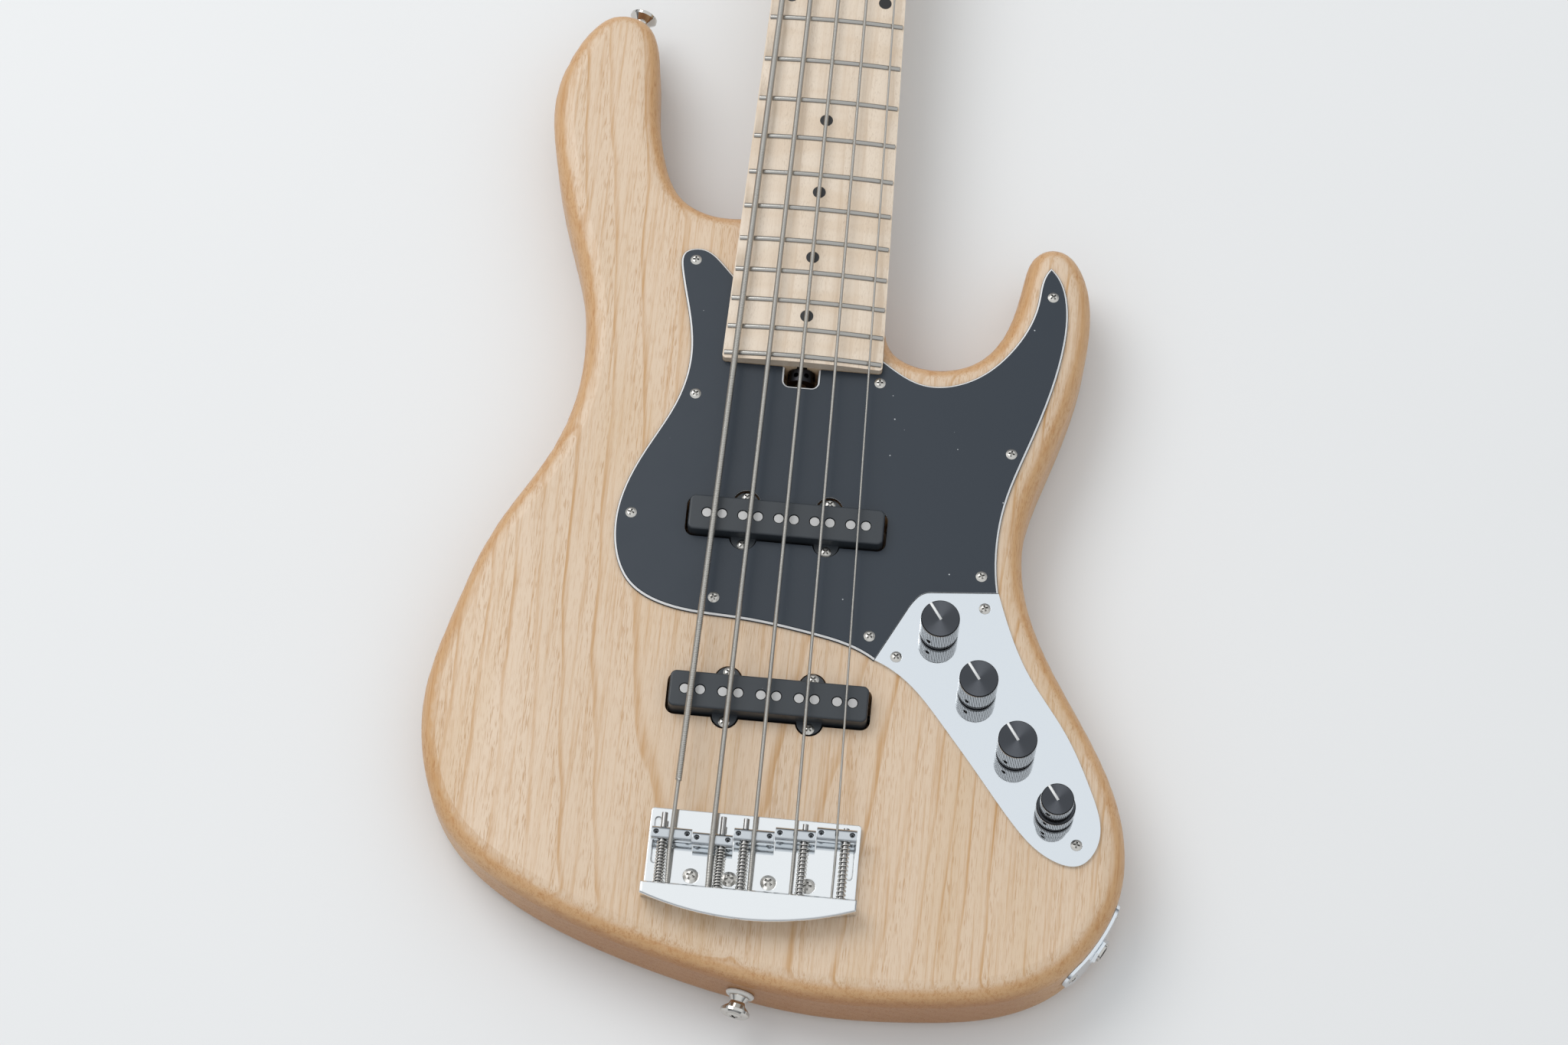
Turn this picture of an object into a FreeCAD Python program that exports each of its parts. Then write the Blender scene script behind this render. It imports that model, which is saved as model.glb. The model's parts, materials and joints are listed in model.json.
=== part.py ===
import FreeCAD, Part
import math
import os

# Five-string electric bass guitar lying on its back, in millimetres.
# X = 0 is the centre line, Y = 0 the saddle line, +Y points to the head, Z = 0 is the flat back.

V = FreeCAD.Vector

# Neck, fretboard and strings
SCALE_LENGTH = 863.6
FRET_COUNT = 22
BOARD_PAST_LAST_FRET = 3.0
NECK_WIDTH_AT_NUT = 46.8
NECK_WIDTH_AT_HEEL = 78.6
NECK_CORNER_RADIUS = 2.0
BOARD_THICKNESS = 6.0
BOARD_RADIUS = 305.0
HEEL_THICKNESS = 19.0
HEEL_LENGTH = 82.0
HEEL_END_CHAMFER = 9.0
NECK_DEPTH_AT_HEEL = 17.5
NECK_DEPTH_AT_NUT = 15.5
FRET_CROWN_WIDTH = 2.7
FRET_CROWN_HEIGHT = 1.1
FRET_TANG_WIDTH = 0.6
FRET_TANG_DEPTH = 2.0
FRET_END_INSET = 0.8
DOT_RADIUS = 3.2
DOT_DEPTH = 2.0
DOUBLE_DOT_OFFSET = 24.0
SINGLE_DOT_FRETS = (3, 5, 7, 9, 15, 17, 19, 21)
DOUBLE_DOT_FRET = 12
NUT_LENGTH = 5.0
NUT_ABOVE_STRINGS = 0.4
STRING_DIAMETERS = (3.3, 2.7, 2.1, 1.65, 1.15)
LOW_STRING_END_DIAMETER = 2.1
LOW_STRING_TAPER_Y = 18.0
STRING_PITCH_AT_SADDLE = 19.0
STRING_PITCH_AT_NUT = 9.6
STRING_ABOVE_FRET_AT_NUT = 0.6
STRING_BEND_BEHIND_SADDLE = 7.5
STRING_BEND_RADIUS = 9.0

# Head and tuners
HEAD_FACE_DROP = 13.0
HEAD_THICKNESS = 16.0
HEAD_LENGTH = 203.0
HEAD_SCOOP_LENGTH = 24.0
HEAD_BACK_RAMP_LENGTH = 52.0
POST_RADIUS = 6.0
POST_JOURNAL_RADIUS = 4.0
POST_HEIGHT = 20.0
POST_SLOT_WIDTH = 3.6
POST_SLOT_DEPTH = 6.0
BUSHING_RADIUS = 8.0
BUSHING_DEPTH = 9.0
BUSHING_FLANGE_RADIUS = 9.5
BUSHING_FLANGE_HEIGHT = 2.0
GEAR_RADIUS = 7.2
GEAR_THICKNESS = 5.0
GEAR_TEETH = 20
GEAR_TOOTH_DEPTH = 1.0
WORM_RADIUS = 2.6
WORM_HALF_LENGTH = 7.2
KEY_SHAFT_RADIUS = 2.2
KEY_LENGTH = 21.0
KEY_WIDTH = 25.0
KEY_THICKNESS = 6.5
KEY_STANDOFF = 7.0
TUNER_WALL = 2.6
TUNER_TAB_LENGTH = 8.0
WRAP_CLEARANCE = 0.3
WRAP_GAP = 0.5
WRAP_TURNS = (1.75, 1.75, 2.75, 2.75, 2.75)

# Body
BODY_THICKNESS = 45.0
BODY_EDGE_RADIUS = 10.5
POCKET_DEPTH = 16.0
ARM_CONTOUR_RADIUS = 180.0
ARM_CONTOUR_SKIM = 0.05
NECK_SCREW_PITCH_X = 38.0
NECK_SCREW_PITCH_Y = 44.0
NECK_SCREW_FROM_HEEL_END = 15.0
NECK_SCREW_SHIFT_X = -6.0
NECK_SCREW_GRIP = 13.0
NECK_SCREW_RADIUS = 2.2
NECK_SCREW_HEAD_RADIUS = 4.4
FERRULE_RADIUS = 7.5
FERRULE_HEIGHT = 5.0
FERRULE_BELOW_BACK = 0.4

# Truss rod
TRUSS_ROD_RADIUS = 2.5
TRUSS_ROD_BELOW_BOARD = 7.5
TRUSS_ROD_SHORT_OF_NUT = 20.0
TRUSS_WHEEL_RADIUS = 6.8
TRUSS_WHEEL_LENGTH = 6.2
TRUSS_WHEEL_FROM_HEEL = 0.6
TRUSS_WHEEL_HOLES = 8
TRUSS_WHEEL_HOLE_RADIUS = 1.3
TRUSS_NOTCH_MARGIN = 1.5
TRUSS_NOTCH_REACH = 3.2
TRUSS_NOTCH_CORNER = 3.0

# Pickguard, control plate and their screws
PICKGUARD_THICKNESS = 2.4
PICKGUARD_BEVEL = 1.3
CONTROL_PLATE_THICKNESS = 1.6
PLATE_GAP = 0.3
PLATE_SCREW_HEAD_RADIUS = 2.75
PLATE_SCREW_DOME = 0.9
PLATE_SCREW_CONE = 1.3
PLATE_SCREW_RADIUS = 1.4
PLATE_SCREW_LENGTH = 12.0
CROSS_WIDTH_SHARE = 0.3
CROSS_SPAN_SHARE = 1.15
CROSS_DEPTH = 1.0
HEAD_SHOULDER_SHARE = 0.62
HEAD_SHOULDER_RISE = 0.72

# Turns at which the screws' crosses come to rest, in degrees
PICKGUARD_SCREW_TURN_STEP = 37.0
CONTROL_SCREW_TURN = 20.0
CONTROL_SCREW_TURN_STEP = 31.0
JACK_SCREW_TURN = 15.0
BATTERY_SCREW_TURN = 40.0
NECK_SCREW_TURN = 30.0
PICKUP_SCREW_TURN = 50.0
BRIDGE_SCREW_TURN_PER_MM = 17.0
STRAP_SCREW_TURN = 10.0

# Pickups
PICKUP_LENGTH = 94.0
PICKUP_WIDTH = 18.0
PICKUP_CORNER_RADIUS = 3.0
PICKUP_TOP_RADIUS = 1.0
PICKUP_ABOVE_BODY = 8.0
PICKUP_HEIGHT = 17.0
PICKUP_WALL = 1.6
NECK_PICKUP_Y = 156.4
BRIDGE_PICKUP_Y = 66.05
POLE_PAIR_SPACING = 7.3
NECK_POLE_PITCH = 17.3
BRIDGE_POLE_PITCH = 18.0
POLE_RADIUS = 2.3
POLE_HOLE_RADIUS = 2.65
POLE_RECESS = 0.4
EAR_RADIUS = 6.0
EAR_OFFSET_X = 20.0
EAR_REACH = 3.4
EAR_THICKNESS = 2.2
EAR_ABOVE_BODY = 0.6
ROUT_MARGIN = 1.5
ROUT_DEPTH = 20.0
EAR_ROUT_DEPTH = 8.0
COIL_HEIGHT = 9.0
COIL_WIDTH = 3.4
BOBBIN_PLATE = 1.6
PICKUP_SCREW_LENGTH = 24.0

# Bridge
BRIDGE_WIDTH = 98.0
BRIDGE_FRONT = 7.8
BRIDGE_CORNER_RADIUS = 1.5
BRIDGE_PLATE_THICKNESS = 2.8
BLOCK_FRONT = 31.0
BLOCK_WIDTH = 100.0
BLOCK_END_DEPTH = 5.6
BLOCK_MIDDLE_DEPTH = 14.4
BLOCK_HEIGHT = 10.8
BLOCK_CHAMFER = 0.8
BLOCK_LIP = 2.0
BLOCK_UNDERCUT_MIDDLE = 5.9
BLOCK_UNDERCUT_END = 2.0
BLOCK_WALL = 3.5
BRIDGE_SCREW_X = (-27.7, -9.9, 8.3, 26.4)
BRIDGE_SCREW_Y = -23.7
BRIDGE_SCREW_HEAD_RADIUS = 3.6
BRIDGE_SCREW_CONE_SHARE = 0.7
BRIDGE_SCREW_RADIUS = 2.0
BRIDGE_SCREW_LENGTH = 24.0
SADDLE_RADIUS = 3.3
SADDLE_LENGTH = 18.6
SADDLE_AXIS_HEIGHT = 7.6
SADDLE_CROWN_RADIUS = 600.0
SADDLE_CRESTS = (-6.6, -8.1, -4.5, -2.3, -0.2)
STRING_SINK = 0.2
STRING_CLEARANCE = 0.3
HEIGHT_SCREW_OFFSET = 7.2
HEIGHT_SCREW_RADIUS = 1.25
HEIGHT_SCREW_ABOVE_AXIS = 1.4
HEIGHT_SCREW_SOCKET = 1.3
HEIGHT_SCREW_FOOT_GAP = 0.1
GUIDE_GROOVE_WIDTH = 3.2
GUIDE_GROOVE_DEPTH = 0.8
GUIDE_GROOVE_BACK = 19.0
GUIDE_GROOVE_FRONT = 3.6
INTONATION_OFFSETS = (-4.2, 4.2, -4.2, 4.2, 4.2)
INTONATION_RADIUS = 1.45
INTONATION_TIP_Y = 3.5
INTONATION_HEAD_RADIUS = 2.1
INTONATION_HEAD_LENGTH = 2.6
HEAD_RECESS_CLEARANCE = 0.25
STRING_HOLE_BELOW_AXIS = 3.0
BALL_RADIUS = 2.5
BALL_LENGTH = 3.5
SPRING_RADIUS = 2.05
SPRING_WIRE_RADIUS = 0.3
SPRING_TURNS = 13
SPRING_END_GAP = 0.15

# Controls
KNOB_START = (77.3, 107.9)
KNOB_STEP = (20.17, -28.3)
KNOB_RADIUS = 9.3
KNOB_HEIGHT = 17.0
KNOB_GAP = 1.0
KNOB_CHAMFER = 0.5
KNOB_GROOVE_FROM_BASE = 2.6
KNOB_GROOVE_WIDTH = 1.0
KNOB_GROOVE_DEPTH = 0.45
KNOB_RECESS_RADIUS = 7.2
KNOB_RECESS_DEPTH = 4.6
KNOB_TOP_WALL = 3.0
POINTER_WIDTH = 1.0
POINTER_DEPTH = 0.35
POINTER_TURN = 35.0
SET_SCREW_RADIUS = 1.1
SET_SCREW_LENGTH = 4.0
SET_SCREW_HEIGHT = 6.2
SET_SCREW_TURN = 150.0
STACK_LOWER_HEIGHT = 9.2
STACK_UPPER_RADIUS = 7.8
STACK_UPPER_HEIGHT = 10.0
STACK_GAP = 0.4
POT_RADIUS = 8.2
POT_HEIGHT = 9.0
POT_FLOOR = 1.5
POT_BUSHING_RADIUS = 4.6
POT_BUSHING_ABOVE_PLATE = 3.6
POT_SHAFT_RADIUS = 3.0
STACK_INNER_SHAFT_RADIUS = 2.0
PANEL_NUT_ACROSS_FLATS = 11.0
PANEL_NUT_HEIGHT = 2.0
CONTROL_CAVITY_RADIUS = 15.0
CONTROL_CAVITY_DEPTH = 34.0
BOARD_LENGTH = 70.0
BOARD_WIDTH = 22.0
CIRCUIT_BOARD_THICKNESS = 1.6
CIRCUIT_PART_SIZE = (10.0, 8.0, 4.0)
CIRCUIT_PART_SHARES = (-0.3, 0.0, 0.3)

# Battery, jack, wiring and strap buttons
BATTERY_SIZE = (48.5, 26.5, 17.5)
BATTERY_CENTRE = (75.0, 6.0)
BATTERY_CORNER = 2.0
BATTERY_ROOM = 0.5
BATTERY_COVER_MARGIN = 7.0
BATTERY_COVER_THICKNESS = 2.2
BATTERY_COVER_INSET = 0.3
BATTERY_COVER_CORNER = 4.0
JACK_NEAR = (163.2, -33.4)
JACK_HEIGHT = 22.0
JACK_PLATE_LENGTH = 47.0
JACK_FLAT_SHARE = 0.7
JACK_PLATE_WIDTH = 21.0
JACK_PLATE_THICKNESS = 1.5
JACK_SCREW_OFFSET = 18.5
JACK_PLATE_SINK = 0.4
JACK_BORE_RADIUS = 3.2
JACK_SLEEVE_RADIUS = 4.7
JACK_SLEEVE_LENGTH = 26.0
JACK_SLEEVE_SHOWS = 1.0
JACK_CAN_RADIUS = 8.0
JACK_CAN_LENGTH = 14.0
JACK_CAN_SETBACK = 2.6
JACK_CUP_RADIUS = 10.5
JACK_CUP_DEPTH = 34.0
STRAP_TAIL_NEAR = (0.0, -69.0)
STRAP_HORN_NEAR = (-102.7, 434.0)
STRAP_BUTTON_HEIGHT = 22.0
STRAP_BUTTON_BASE_RADIUS = 4.8
STRAP_BUTTON_WAIST_RADIUS = 3.5
STRAP_BUTTON_RIM_RADIUS = 7.0
STRAP_BUTTON_LENGTH = 9.2
STRAP_BUTTON_FOOT = 0.6
STRAP_BUTTON_WAIST_SHARE = 0.3
STRAP_BUTTON_RIM_SHARE = 0.76
STRAP_BUTTON_FLARE_OUT = 0.5
STRAP_BUTTON_FLARE_UP = 1.5
STRAP_BUTTON_RIM_EDGE = 0.8
STRAP_FELT_RADIUS = 6.8
STRAP_FELT_THICKNESS = 2.0
STRAP_SCREW_RADIUS = 2.0
STRAP_SCREW_HEAD_RADIUS = 3.6
STRAP_SCREW_GRIP = 22.0
LEAD_RADIUS = 1.7
LEAD_CLEARANCE = 0.3
LEAD_REACH = 4.0

# Fits shared by all pieces
SEAT_CLEARANCE = 0.05
RUNNING_CLEARANCE = 0.05
POCKET_CLEARANCE = 0.2
TURNING_GAP = 0.3

# Outline of the body, clockwise from the tip of the upper horn and round behind the neck's heel
BODY_OUTLINE = (
    (-108, 433.6), (-94.5, 427.5), (-88.8, 412), (-86, 385), (-79.5, 352.5), (-68, 331), (-50, 323.2),
    (-20, 325.5), (12, 321), (31, 306), (37.5, 280), (43.5, 256.5), (62, 249), (87.5, 257), (100.5, 279),
    (105.6, 303.5), (109, 314.4), (116.2, 319.8), (125.2, 318.9), (132.8, 311), (138, 297), (139.6, 279),
    (136.5, 250), (126, 211), (115.2, 171), (115.8, 140), (129, 104), (155, 60), (171, 20), (170.9, -13),
    (162.6, -33), (149.3, -50.4), (126, -64.6), (81.5, -73), (33, -74), (-15.5, -66.6), (-64, -53.5), (-114, -32),
    (-145, -6), (-160.5, 27), (-164.2, 62), (-156, 100), (-141, 144.5), (-121, 182), (-110.5, 212),
    (-108.2, 250), (-114, 283), (-126.7, 321.5), (-135.5, 355), (-138.7, 381), (-133, 408), (-122, 427))
ARM_CONTOUR_LINE = ((-118, 150), (-80, -48))

# Outline of the pickguard in three smooth stretches; the neck and the control plate are cut out of it
PICKGUARD_LEFT = (
    (-30, 280), (-44, 293), (-56.5, 300.2), (-63.5, 297.5), (-64, 287), (-58.5, 265), (-55.2, 243.5),
    (-59.3, 217), (-71.5, 190), (-81, 163), (-81.5, 140), (-72, 119), (-51.5, 108.8), (-18.5, 105.8),
    (17, 101), (40.5, 94.6), (47.7, 90.6))
PICKGUARD_RIGHT = (
    (104.2, 129.6), (102, 151), (104.5, 177), (113, 205.5), (121.7, 234), (127.3, 263), (127.4, 286),
    (122.6, 300.5), (118, 305.8))
PICKGUARD_HORN = (
    (118, 305.8), (115, 300.5), (112.7, 286), (101, 258), (83, 241), (60, 236.4), (43, 244.7), (30, 254))
PICKGUARD_SCREWS = (
    (-57.6, 293.3), (-50.5, 220.7), (-74.9, 155.2), (-31, 115.2), (44.6, 102.4), (38.7, 234.7),
    (120, 289.2), (105.3, 202.9), (95.4, 137.8))

# Outline of the control plate: a corner and a tip joined by smooth stretches
CONTROL_CORNER = (104.3, 130.0)
CONTROL_TOP = (72.0, 127.4)
CONTROL_SHOULDER = (62.0, 118.5)
CONTROL_TIP = (48.0, 90.8)
CONTROL_TAIL = (
    CONTROL_TIP, (66.5, 79.3), (82, 62), (100, 39.6), (119, 15.6), (137, 0.4), (151, -1.5),
    (159, 9.5), (154.4, 34.6), (140, 63.2), (121, 90.6), (109, 116.5), CONTROL_CORNER)
CONTROL_SCREWS = ((98.2, 121.8), (58.1, 93.4), (149.0, 8.2))

# Tuner posts: across from the centre line, and distance past the nut
TUNER_POSTS = ((-29.5, 45.0), (-27.5, 100.0), (-24.5, 155.0), (27.5, 122.0), (29.5, 67.0))
HEAD_HALF_OUTLINE = (
    (23.4, -16), (23.6, 2), (30, 24), (41, 42), (45.5, 70), (43.5, 120), (38, 166), (24, 194))


# Heights and places worked out from the driving dimensions

BODY_TOP = BODY_THICKNESS
POCKET_FLOOR = BODY_TOP - POCKET_DEPTH
NECK_TOP = POCKET_FLOOR + HEEL_THICKNESS
BOARD_TOP = NECK_TOP + BOARD_THICKNESS
FRET_TOP = BOARD_TOP + FRET_CROWN_HEIGHT
HEAD_FACE = BOARD_TOP - HEAD_FACE_DROP
HEAD_BACK = HEAD_FACE - HEAD_THICKNESS
NUT_Y = SCALE_LENGTH
PICKGUARD_TOP = BODY_TOP + PICKGUARD_THICKNESS
CONTROL_TOP_Z = BODY_TOP + CONTROL_PLATE_THICKNESS
BRIDGE_TOP = BODY_TOP + BRIDGE_PLATE_THICKNESS
BRIDGE_SCREW_CONE = BRIDGE_SCREW_CONE_SHARE * BRIDGE_PLATE_THICKNESS
BLOCK_TOP = BRIDGE_TOP + BLOCK_HEIGHT
PICKUP_TOP = BODY_TOP + PICKUP_ABOVE_BODY
PICKUP_BOTTOM = PICKUP_TOP - PICKUP_HEIGHT
EAR_TOP = BODY_TOP + EAR_ABOVE_BODY
ROUT_FLOOR = BODY_TOP - ROUT_DEPTH
EAR_SCREW_Y = PICKUP_WIDTH / 2 + EAR_REACH
CAVITY_FLOOR = BODY_TOP - CONTROL_CAVITY_DEPTH
KNOB_BASE = CONTROL_TOP_Z + KNOB_GAP
SHAFT_LOW = BODY_TOP - POT_HEIGHT + POT_FLOOR
WHEEL_Z = NECK_TOP - TRUSS_ROD_BELOW_BOARD
GEAR_DROP = TUNER_WALL + GEAR_THICKNESS / 2 + TURNING_GAP
GEAR_Z = HEAD_BACK - GEAR_DROP
WORM_OFFSET = GEAR_RADIUS + WORM_RADIUS + TURNING_GAP
BLOCK_FRONT_Y = -BLOCK_FRONT
RECESS_Y = BLOCK_FRONT_Y - BLOCK_WALL
PICKUPS = ((NECK_PICKUP_Y, NECK_POLE_PITCH), (BRIDGE_PICKUP_Y, BRIDGE_POLE_PITCH))
STRINGS = range(len(STRING_DIAMETERS))


def fret_y(number):
    """Distance of a fret from the saddle line, equal temperament."""
    return SCALE_LENGTH * 2 ** (-number / 12)


HEEL_Y = fret_y(FRET_COUNT) - BOARD_PAST_LAST_FRET
HEEL_END_Y = HEEL_Y + HEEL_LENGTH
WHEEL_END_Y = HEEL_Y - TRUSS_WHEEL_FROM_HEEL
WHEEL_Y = WHEEL_END_Y - TRUSS_WHEEL_LENGTH


def neck_half_width(y):
    """Half the neck's width, which narrows evenly from the heel to the nut."""
    share = (NUT_Y - y) / (NUT_Y - HEEL_Y)
    return (NECK_WIDTH_AT_NUT + (NECK_WIDTH_AT_HEEL - NECK_WIDTH_AT_NUT) * share) / 2


def crown_drop(x, radius):
    """How far an arched surface lies below its crest, at a distance from the centre line."""
    return radius - math.sqrt(radius ** 2 - x ** 2)


def saddle_x(index):
    return (index - (len(STRING_DIAMETERS) - 1) / 2) * STRING_PITCH_AT_SADDLE


def nut_x(index):
    return (index - (len(STRING_DIAMETERS) - 1) / 2) * STRING_PITCH_AT_NUT


def saddle_z(index):
    """Height of a saddle's axis, a little lower towards the outer strings."""
    return BRIDGE_TOP + SADDLE_AXIS_HEIGHT - crown_drop(saddle_x(index), SADDLE_CROWN_RADIUS)


def end_radius(index):
    """Radius of a string over its saddle; the low string is tapered there."""
    if index == 0:
        return LOW_STRING_END_DIAMETER / 2
    return STRING_DIAMETERS[index] / 2


def string_at_saddle(index):
    """Point of the string's centre line above its saddle's crest."""
    z = saddle_z(index) + SADDLE_RADIUS - STRING_SINK + end_radius(index)
    return V(saddle_x(index), SADDLE_CRESTS[index], z)


def string_at_nut(index):
    """Point of the string's centre line on the nut's front edge."""
    x = nut_x(index)
    bottom = FRET_TOP - crown_drop(x, BOARD_RADIUS) + STRING_ABOVE_FRET_AT_NUT
    return V(x, NUT_Y, bottom + STRING_DIAMETERS[index] / 2)


def knob_centre(index):
    return KNOB_START[0] + index * KNOB_STEP[0], KNOB_START[1] + index * KNOB_STEP[1]


# Shapes that the pieces are made from

def box(x0, x1, y0, y1, z0, z1):
    return Part.makeBox(x1 - x0, y1 - y0, z1 - z0, V(x0, y0, z0))


def rod(start, end, radius):
    """Round bar between two points."""
    return Part.makeCylinder(radius, (end - start).Length, start, end - start)


def pillar(x, y, z0, z1, radius):
    """Upright round bar."""
    return rod(V(x, y, z0), V(x, y, z1), radius)


def joined(shapes):
    """One solid out of several that overlap or touch."""
    return shapes[0].multiFuse(shapes[1:]).removeSplitter()


def cleared(shape, tools):
    """The shape with all tools cut away."""
    return shape.cut(Part.makeCompound(tools)) if tools else shape


def curve(points, closed=False):
    spline = Part.BSplineCurve()
    spline.interpolate(Points=[V(x, y, 0) for x, y in points], PeriodicFlag=closed)
    return spline


def line(start, end):
    return Part.LineSegment(V(*start), V(*end)).toShape()


def flat_line(start, end):
    return line((start[0], start[1], 0), (end[0], end[1], 0))


def prism(edges, z0, z1):
    """Upright solid over a closed flat outline."""
    face = Part.Face(Part.Wire(Part.__sortEdges__(edges)))
    face.translate(V(0, 0, z0))
    return face.extrude(V(0, 0, z1 - z0))


def polygon_prism(points, z0, z1):
    return prism(Part.makePolygon([V(x, y, 0) for x, y in points + points[:1]]).Edges, z0, z1)


def upright_edges(shape):
    return [edge for edge in shape.Edges if abs(edge.tangentAt(edge.FirstParameter).z) > 0.99]


def rounded_box(x0, x1, y0, y1, z0, z1, radius):
    """Box whose upright edges are rounded."""
    block = box(x0, x1, y0, y1, z0, z1)
    return block.makeFillet(radius, upright_edges(block))


def rim_edges(shape, z):
    """Edges that lie wholly at one height."""
    return [edge for edge in shape.Edges
            if abs(edge.BoundBox.ZMin - z) < 1e-4 and abs(edge.BoundBox.ZMax - z) < 1e-4]


def turned(profile, base, axis):
    """Solid of revolution from (radius, height) points, standing on base along axis."""
    points = [V(radius, 0, height) for radius, height in profile]
    solid = Part.Face(Part.makePolygon(points + points[:1])).revolve(V(0, 0, 0), V(0, 0, 1), 360)
    solid.Placement = FreeCAD.Placement(base, FreeCAD.Rotation(V(0, 0, 1), axis))
    return solid


def hexagon(x, y, z0, z1, across_flats):
    corner = across_flats / math.sqrt(3)
    points = [(x + corner * math.cos(math.radians(60 * n)), y + corner * math.sin(math.radians(60 * n)))
              for n in range(6)]
    return polygon_prism(points, z0, z1)


def middle_of(edge):
    """Point halfway along an edge's parameter range."""
    return edge.valueAt((edge.FirstParameter + edge.LastParameter) / 2)


def half_arc(start, tangent, end):
    """Circular arc from start, leaving along tangent, to end."""
    chord = end - start
    lean = tangent - chord * (tangent.dot(chord) / chord.dot(chord))
    half_turn = math.acos(max(-1.0, min(1.0, tangent.dot(chord) / chord.Length)))
    bulge = V(lean).normalize() * (chord.Length / 2 * math.tan(half_turn / 2))
    return Part.Arc(start, start + chord * 0.5 + bulge, end).toShape()


def biarc(start, leaving, end, arriving):
    """Two arcs that meet smoothly between two points with given directions."""
    chord = end - start
    bend = 2 * (1 - leaving.dot(arriving))
    reach = chord.dot(leaving + arriving)
    size = (math.sqrt(reach ** 2 + bend * chord.dot(chord)) - reach) / bend
    middle = (start + leaving * size + end - arriving * size) * 0.5
    first = half_arc(start, leaving, middle)
    second = Part.Arc(middle, middle_of(half_arc(end, arriving * -1, middle)), end)
    return [first, second.toShape()]


def winding(centre, axis, side, radius, pitch, turns, sense):
    """Points, directions and smooth edges of a helix in quarter turns."""
    across = axis.cross(side) * sense
    steps = round(turns * 4)
    points = []
    directions = []
    for step in range(steps + 1):
        angle = step * math.pi / 2
        out = side * math.cos(angle) + across * math.sin(angle)
        along = across * math.cos(angle) - side * math.sin(angle)
        points.append(centre + out * radius + axis * (pitch * step / 4))
        directions.append((along * radius + axis * (pitch / (2 * math.pi))).normalize())
    edges = []
    for step in range(steps):
        edges += biarc(points[step], directions[step], points[step + 1], directions[step + 1])
    return points, directions, edges


def tube(edges, radius):
    """Round wire along a smooth path."""
    path = Part.Wire(edges)
    first = edges[0]
    start = first.valueAt(first.FirstParameter)
    ring = Part.Wire(Part.Circle(start, first.tangentAt(first.FirstParameter), radius).toShape())
    return path.makePipeShell([ring], True, False)


def bent_path(points, radius):
    """Straight runs joined by tangent arcs of one radius."""
    edges = []
    start = points[0]
    for corner, after in zip(points[1:-1], points[2:]):
        into = (corner - start).normalize()
        out = (after - corner).normalize()
        trim = radius * math.tan(math.acos(max(-1.0, min(1.0, into.dot(out)))) / 2)
        entry = corner - into * trim
        leave = corner + out * trim
        edges.append(Part.LineSegment(start, entry).toShape())
        edges.append(half_arc(entry, into, leave))
        start = leave
    edges.append(Part.LineSegment(start, points[-1]).toShape())
    return edges


def self_gap(edges, radius, step):
    """Least gap between stretches of a tube that are further apart along it than half a turn."""
    points = []
    for edge in edges:
        count = max(2, round(edge.Length / step))
        span = edge.LastParameter - edge.FirstParameter
        points += [edge.valueAt(edge.FirstParameter + span * n / count) for n in range(count)]
    lengths = [0.0]
    for before, after in zip(points, points[1:]):
        lengths.append(lengths[-1] + (after - before).Length)
    least = math.inf
    for first in range(len(points)):
        for second in range(first + 1, len(points)):
            if lengths[second] - lengths[first] > 5 * radius + 4 * step:
                gap = (points[second] - points[first]).Length - 2 * radius
                least = min(least, gap)
    return least


# Screws with raised heads, and the holes that they leave

def screw_profile(head_radius, dome, cone, radius, length, grow=0.0):
    """Half section of a raised countersunk screw; height 0 is the surface that it sits in."""
    shoulder = (head_radius * HEAD_SHOULDER_SHARE, dome * HEAD_SHOULDER_RISE)
    profile = [(0, dome), shoulder, (head_radius + grow, 0)]
    profile += [(radius + grow, -cone), (radius + grow, -length), (0, -length)]
    return profile


def cross_recess(dome, head_radius):
    """Crossed slots in a screw's head."""
    half = CROSS_SPAN_SHARE * head_radius / 2
    wide = CROSS_WIDTH_SHARE * head_radius / 2
    low = dome - CROSS_DEPTH
    return [box(-a, a, -b, b, low, dome + CROSS_DEPTH) for a, b in ((half, wide), (wide, half))]


def screw(base, axis, head_radius, dome, cone, radius, length, turn=0.0):
    """Screw whose head shows along axis, with its cross turned about that axis."""
    solid = turned(screw_profile(head_radius, dome, cone, radius, length), V(0, 0, 0), V(0, 0, 1))
    solid = cleared(solid, cross_recess(dome, head_radius))
    solid.rotate(V(0, 0, 0), V(0, 0, 1), turn)
    solid.Placement = FreeCAD.Placement(base, FreeCAD.Rotation(V(0, 0, 1), axis)).multiply(solid.Placement)
    return solid


def screw_hole(base, axis, head_radius, cone, radius, length):
    """Hole for such a screw, with seat clearance and an open mouth."""
    profile = screw_profile(head_radius, 0, cone, radius, length + SEAT_CLEARANCE, SEAT_CLEARANCE)[2:]
    mouth = head_radius + SEAT_CLEARANCE
    return turned([(0, cone), (mouth, cone)] + profile, base, axis)


def plate_screw(base, axis, turn=0.0):
    return screw(base, axis, PLATE_SCREW_HEAD_RADIUS, PLATE_SCREW_DOME, PLATE_SCREW_CONE,
                 PLATE_SCREW_RADIUS, PLATE_SCREW_LENGTH, turn)


def plate_screw_hole(base, axis):
    return screw_hole(base, axis, PLATE_SCREW_HEAD_RADIUS, PLATE_SCREW_CONE, PLATE_SCREW_RADIUS,
                      PLATE_SCREW_LENGTH)


UP = V(0, 0, 1)
DOWN = V(0, 0, -1)
FORWARD = V(0, 1, 0)
BODY_CURVE = curve(BODY_OUTLINE, True)


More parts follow.
